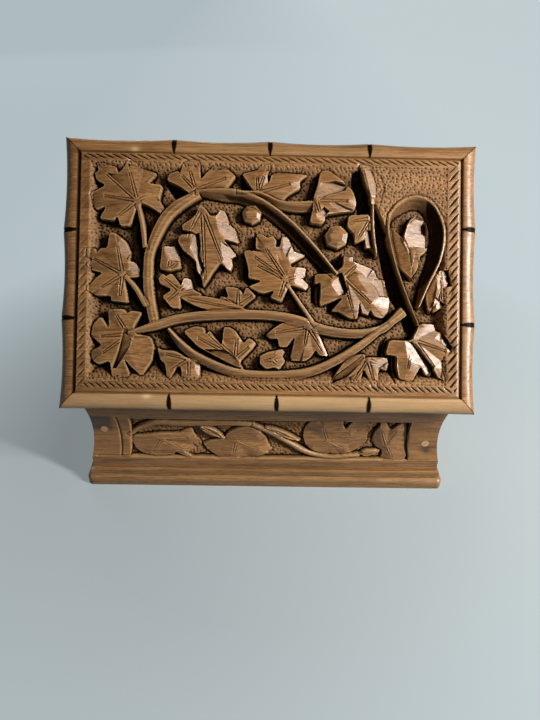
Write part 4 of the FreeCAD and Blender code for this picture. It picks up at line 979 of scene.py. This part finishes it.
def lid_underside():
    """The lid's flat underside with the hinges' mortises and the round grooves for their knuckles."""
    half = LID_WIDTH / 2 - UNDERSIDE_INSET
    low, high = LID_FRONT + UNDERSIDE_INSET, LID_BACK - UNDERSIDE_INSET
    hinge = HINGE_LENGTH / 2 + HINGE_ROOM
    edge = 0.005
    cuts = [s * HINGE_X + e * hinge + o for s in (-1, 1) for e in (-1, 1) for o in (-edge, edge)]
    xs = np.sort(np.concatenate([np.linspace(-half, half, 21), cuts]))
    leaf = PIN_V - HINGE_LEAF_WIDTH - HINGE_ROOM
    turn = np.linspace(-np.pi / 2, np.pi / 2, 25)
    flat = np.linspace(low, leaf - edge, 14)
    mortised = np.linspace(leaf + edge, PIN_V - HINGE_GROOVE - edge, 4)
    vs = np.concatenate([flat, mortised, PIN_V + HINGE_GROOVE * np.sin(turn), [high]])
    x, v = np.meshgrid(xs, vs)
    in_hinge = np.abs(np.abs(x) - HINGE_X) < hinge
    mortise = np.where((v > leaf) & (v < PIN_V), HINGE_LEAF_DEPTH, 0.0)
    groove = np.sqrt(np.maximum(HINGE_GROOVE**2 - (v - PIN_V) ** 2, 0))
    n = LID_GAP + np.where(in_hinge, np.maximum(mortise, groove), 0.0)
    faces = grid_faces(*x.shape, flip=True)
    make_piece("lid_underside", on_slope(x, v, n), faces, WALNUT_ACROSS, "lid", "lid_board")


def hollow_depth(height):
    """How deep the front's hollow is at a height above the base board: an arc between the two rails."""
    half_chord = (FRONT_HEIGHT - LOWER_RAIL - UPPER_RAIL) / 2
    radius = (half_chord**2 + COVE_DEPTH**2) / (2 * COVE_DEPTH)
    off_centre = np.clip(height - LOWER_RAIL - half_chord, -half_chord, half_chord)
    return COVE_DEPTH - radius + np.sqrt(radius**2 - off_centre**2)


def front_board():
    """The front board: a hollow face with a carved panel, its ends hollowed like the sides."""
    face = Carving((0, BODY_WIDTH), (0, FRONT_HEIGHT), FRONT_STEP)
    edge = np.minimum(np.minimum(face.x - PANEL_X[0], PANEL_X[1] - face.x),
                      np.minimum(face.y - PANEL_Z[0], PANEL_Z[1] - face.y))
    ground = -PANEL_DEPTH * smooth(edge / 0.7)
    face.height[:] = ground
    for leaf in FRONT_LEAVES:
        face.leaf(-PANEL_DEPTH, *leaf)
    for blade in FRONT_BLADES:
        face.blade(-PANEL_DEPTH, *blade)
    for pared in FRONT_FACES:
        face.pare(-PANEL_DEPTH, *pared)
    for vine in FRONT_VINES:
        face.vine(-PANEL_DEPTH, *vine)
    face.matting(np.where(edge > 0.7, -PANEL_DEPTH, -99))
    for start, end in FRONT_CUTS:
        face.cut(FRONT_CUT_DEPTH, FRONT_CUT_HALF, start, end)
    depth = hollow_depth(face.y)
    end = BODY_WIDTH / 2 - depth
    x = (face.x / BODY_WIDTH * 2 - 1) * end
    z = BASE_HEIGHT + face.y
    y = FRONT_Y + depth - np.minimum(face.height, 0.0)
    rows, columns = x.shape
    height = face.ys
    back_y = np.full(rows, FRONT_Y + WALL)
    back_z = BASE_HEIGHT + height * (FRONT_HEIGHT + WALL * math.tan(SLOPE)) / FRONT_HEIGHT
    back_end = BODY_WIDTH / 2 - hollow_depth(height)
    back_left = np.stack([-back_end, back_y, back_z], axis=-1)
    back_right = np.stack([back_end, back_y, back_z], axis=-1)
    points = np.vstack([np.stack([x, y, z], axis=-1).reshape(-1, 3), back_left, back_right])
    corner = np.arange(rows * columns).reshape(rows, columns)
    left, right = rows * columns + np.arange(rows), rows * columns + rows + np.arange(rows)
    strips = [(left, corner[:, 0]), (corner[:, -1], right), (right, left)]
    faces = grid_faces(rows, columns)
    for a, b in strips:
        faces += np.stack([a[:-1], b[:-1], b[1:], a[1:]], axis=-1).tolist()
    faces.append(corner[-1].tolist() + [int(right[-1]), int(left[-1])])
    faces.append(corner[0][::-1].tolist() + [int(left[0]), int(right[0])])
    # Iron stain from the nails: a patch at the left end and a round spot near the right end
    stain = smooth((12 - face.x) / 3) * smooth((face.y - 23.5) / 3) * smooth((36 - face.y) / 2) * 0.75
    stain += np.exp(-(((face.x - 178.4) / 2.8) ** 2 + ((face.y - 14.8) / 2.6) ** 2)) * 0.8
    back = np.zeros(2 * rows)
    # Painted shade in the panel's hollows and painted highlight with wear on its raised edges; the stain is
    # real iron stain
    values = {"stain_and_painted_shade": np.concatenate([face.stain_and_painted_shade(0.0, PANEL_DEPTH * 2).ravel(), back]),
              "wear_and_painted_highlight": np.concatenate([face.wear_and_painted_highlight().ravel(), back]),
              "stain": np.concatenate([stain.ravel(), back]),
              "dull": np.concatenate([face.dull.ravel(), back])}
    name = "front_board_carved"
    make_piece(name, points, faces, CARVED_WALNUT, "box", "front_board", values)


def dress_nodes():
    """Gives the CAD nodes that stay their materials."""
    for name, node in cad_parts.items():
        material = WALNUT_ACROSS
        if name.endswith("_side"):
            material = WALNUT_DEEP
        if "hinge" in name or "screws" in name:
            material = BRASS
        if "nails" in name:
            material = IRON
        if "plugs" in name:
            material = FILLER
        node.data.materials.clear()
        node.data.materials.append(material)


# Camera, as the photo's perspective gives it: turned, tipped and rolled, looking down on the box
CAMERA_LENS = 29.0
CAMERA_TIP = math.radians(36.55)
CAMERA_TURN = math.radians(1.25)
CAMERA_ROLL = math.radians(1.73)
CAMERA_DISTANCE = 281.0
CAMERA_RISE = 20.86
CAMERA_SHIFT = 0.4
AIM_HEIGHT = 60.0
AIM_Y = -39.9
# How much of the paper's light to the eye is its own, near the box and away from it, so that the box's
# shadow stays soft and the paper beyond it even; the change lies between two distances, in metres
FLOOR_GLOW = 0.35
FAR_GLOW = 0.9
GLOW_FROM = 0.12
GLOW_TO = 0.28
FLOOR_REACH = 6.0
BACKDROP_RADIUS = 5.0
BACKDROP_HEIGHT = 2.6
BACKDROP_PANELS = 96
ROOM_LIGHT = 0.045
LAMP_COLOUR = (1.0, 0.97, 0.93)
# Each lamp's name, direction from the box, distance, width and height, and power
LAMPS = (
    ("window", (0.76, -0.39, 0.52), 0.72, (0.055, 0.36), 9.1),
    ("rear_fill", (-0.37, 0.86, 0.35), 1.3, (0.9, 0.9), 5.0),
)


def place_camera():
    """Sets the camera where the photo was taken from."""
    right = Vector((1, 0, 0))
    ahead = Vector((0, math.cos(CAMERA_TIP), -math.sin(CAMERA_TIP)))
    down = Vector((0, -math.sin(CAMERA_TIP), -math.cos(CAMERA_TIP)))
    turn = Matrix.Rotation(-CAMERA_TURN, 3, "Z")
    centre = turn @ (right * CAMERA_SHIFT - down * CAMERA_RISE - ahead * CAMERA_DISTANCE)
    across = turn @ (right * math.cos(CAMERA_ROLL) - down * math.sin(CAMERA_ROLL))
    up = -(turn @ (right * math.sin(CAMERA_ROLL) + down * math.cos(CAMERA_ROLL)))
    place = Matrix((across, up, -(turn @ ahead))).transposed().to_4x4()
    place.translation = (centre + Vector((0, AIM_Y, AIM_HEIGHT))) * MM
    data = bpy.data.cameras.new("camera")
    data.lens = CAMERA_LENS
    data.sensor_width = 36.0
    camera = bpy.data.objects.new("camera", data)
    camera.matrix_world = place
    bpy.context.scene.collection.objects.link(camera)
    bpy.context.scene.camera = camera


def set_stage():
    """A pale paper floor and round backdrop, partly glowing and painted paler towards the window, a window
    light from the right and a weak one from behind.
    """
    mesh = bpy.data.meshes.new("floor")
    reach = FLOOR_REACH
    corners = [(-reach, -reach, 0), (reach, -reach, 0), (reach, reach, 0), (-reach, reach, 0)]
    mesh.from_pydata(corners, [], [(0, 1, 2, 3)])
    paper = new_material("white_paper")
    place = add(paper, "ShaderNodeTexCoord", {}, {}).outputs["Object"]
    away = add(paper, "ShaderNodeVectorMath", {"operation": "LENGTH"}, {0: place}).outputs["Value"]
    across = add(paper, "ShaderNodeSeparateXYZ", {}, {0: place}).outputs["X"]
    # Painted light: the paper is paler towards the right, where the window lamp stands
    colour = blend(paper, spread(paper, across, -0.3, 0.3), linear("#b6c3c8"), linear("#cbd7da"))
    ray = add(paper, "ShaderNodeLightPath", {}, {}).outputs
    seen = ray["Is Camera Ray"]
    for kind in ("Is Glossy Ray", "Is Transmission Ray"):
        seen = add(paper, "ShaderNodeMath", {"operation": "ADD"}, {0: seen, 1: ray[kind]}).outputs[0]
    paper_lit = blend(paper, 1.0, colour, linear("#d2d2d2"), "MULTIPLY")
    dim = blend(paper, seen, linear("#54585a"), paper_lit)
    lit = add(paper, "ShaderNodeBsdfPrincipled", {}, {"Base Color": dim, "Roughness": 0.9}).outputs[0]
    glow = add(paper, "ShaderNodeEmission", {}, {"Color": colour, "Strength": 1.0}).outputs[0]
    limits = {"From Min": GLOW_FROM, "From Max": GLOW_TO, "To Min": FLOOR_GLOW, "To Max": FAR_GLOW}
    inputs = {"Value": away, **limits}
    own = add(paper, "ShaderNodeMapRange", {}, inputs).outputs["Result"]
    share = add(paper, "ShaderNodeMath", {"operation": "MULTIPLY"}, {0: seen, 1: own}).outputs[0]
    surface = add(paper, "ShaderNodeMixShader", {}, {0: share, 1: lit, 2: glow}).outputs[0]
    add(paper, "ShaderNodeOutputMaterial", {}, {"Surface": surface})
    mesh.materials.append(paper)
    floor = bpy.data.objects.new("floor", mesh)
    turn = np.linspace(0, 2 * np.pi, BACKDROP_PANELS + 1)[:-1]
    ring = np.stack([np.cos(turn), np.sin(turn), 0 * turn], axis=-1) * BACKDROP_RADIUS
    wall = np.vstack([ring, ring + (0, 0, BACKDROP_HEIGHT)])
    near = np.arange(BACKDROP_PANELS)
    after = np.roll(near, -1)
    panels = np.stack([after, near, near + BACKDROP_PANELS, after + BACKDROP_PANELS], axis=-1)
    sheet = bpy.data.meshes.new("backdrop")
    sheet.from_pydata(wall.tolist(), [], panels.tolist())
    sheet.materials.append(paper)
    backdrop = bpy.data.objects.new("backdrop", sheet)
    for piece in (floor, backdrop):
        bpy.context.scene.collection.objects.link(piece)

    for name, direction, distance, size, power in LAMPS:
        light = bpy.data.lights.new(name, "AREA")
        light.shape = "RECTANGLE"
        light.size, light.size_y = size
        light.energy = power
        light.color = LAMP_COLOUR
        lamp = bpy.data.objects.new(name, light)
        to_lamp = Vector(direction)
        lamp.rotation_mode = "QUATERNION"
        lamp.rotation_quaternion = (-to_lamp).to_track_quat("-Z", "Y")
        lamp.location = Vector((0, 0, AIM_HEIGHT * MM)) + to_lamp * distance
        bpy.context.scene.collection.objects.link(lamp)

    world = bpy.data.worlds.new("room")
    world.use_nodes = True
    world.node_tree.nodes["Background"].inputs["Color"].default_value = linear("#dcdad7")
    world.node_tree.nodes["Background"].inputs["Strength"].default_value = ROOM_LIGHT
    bpy.context.scene.world = world
    bpy.context.scene.view_settings.view_transform = "Standard"


dress_nodes()
lid_carving()
lid_border()
lid_underside()
front_board()
place_camera()
set_stage()
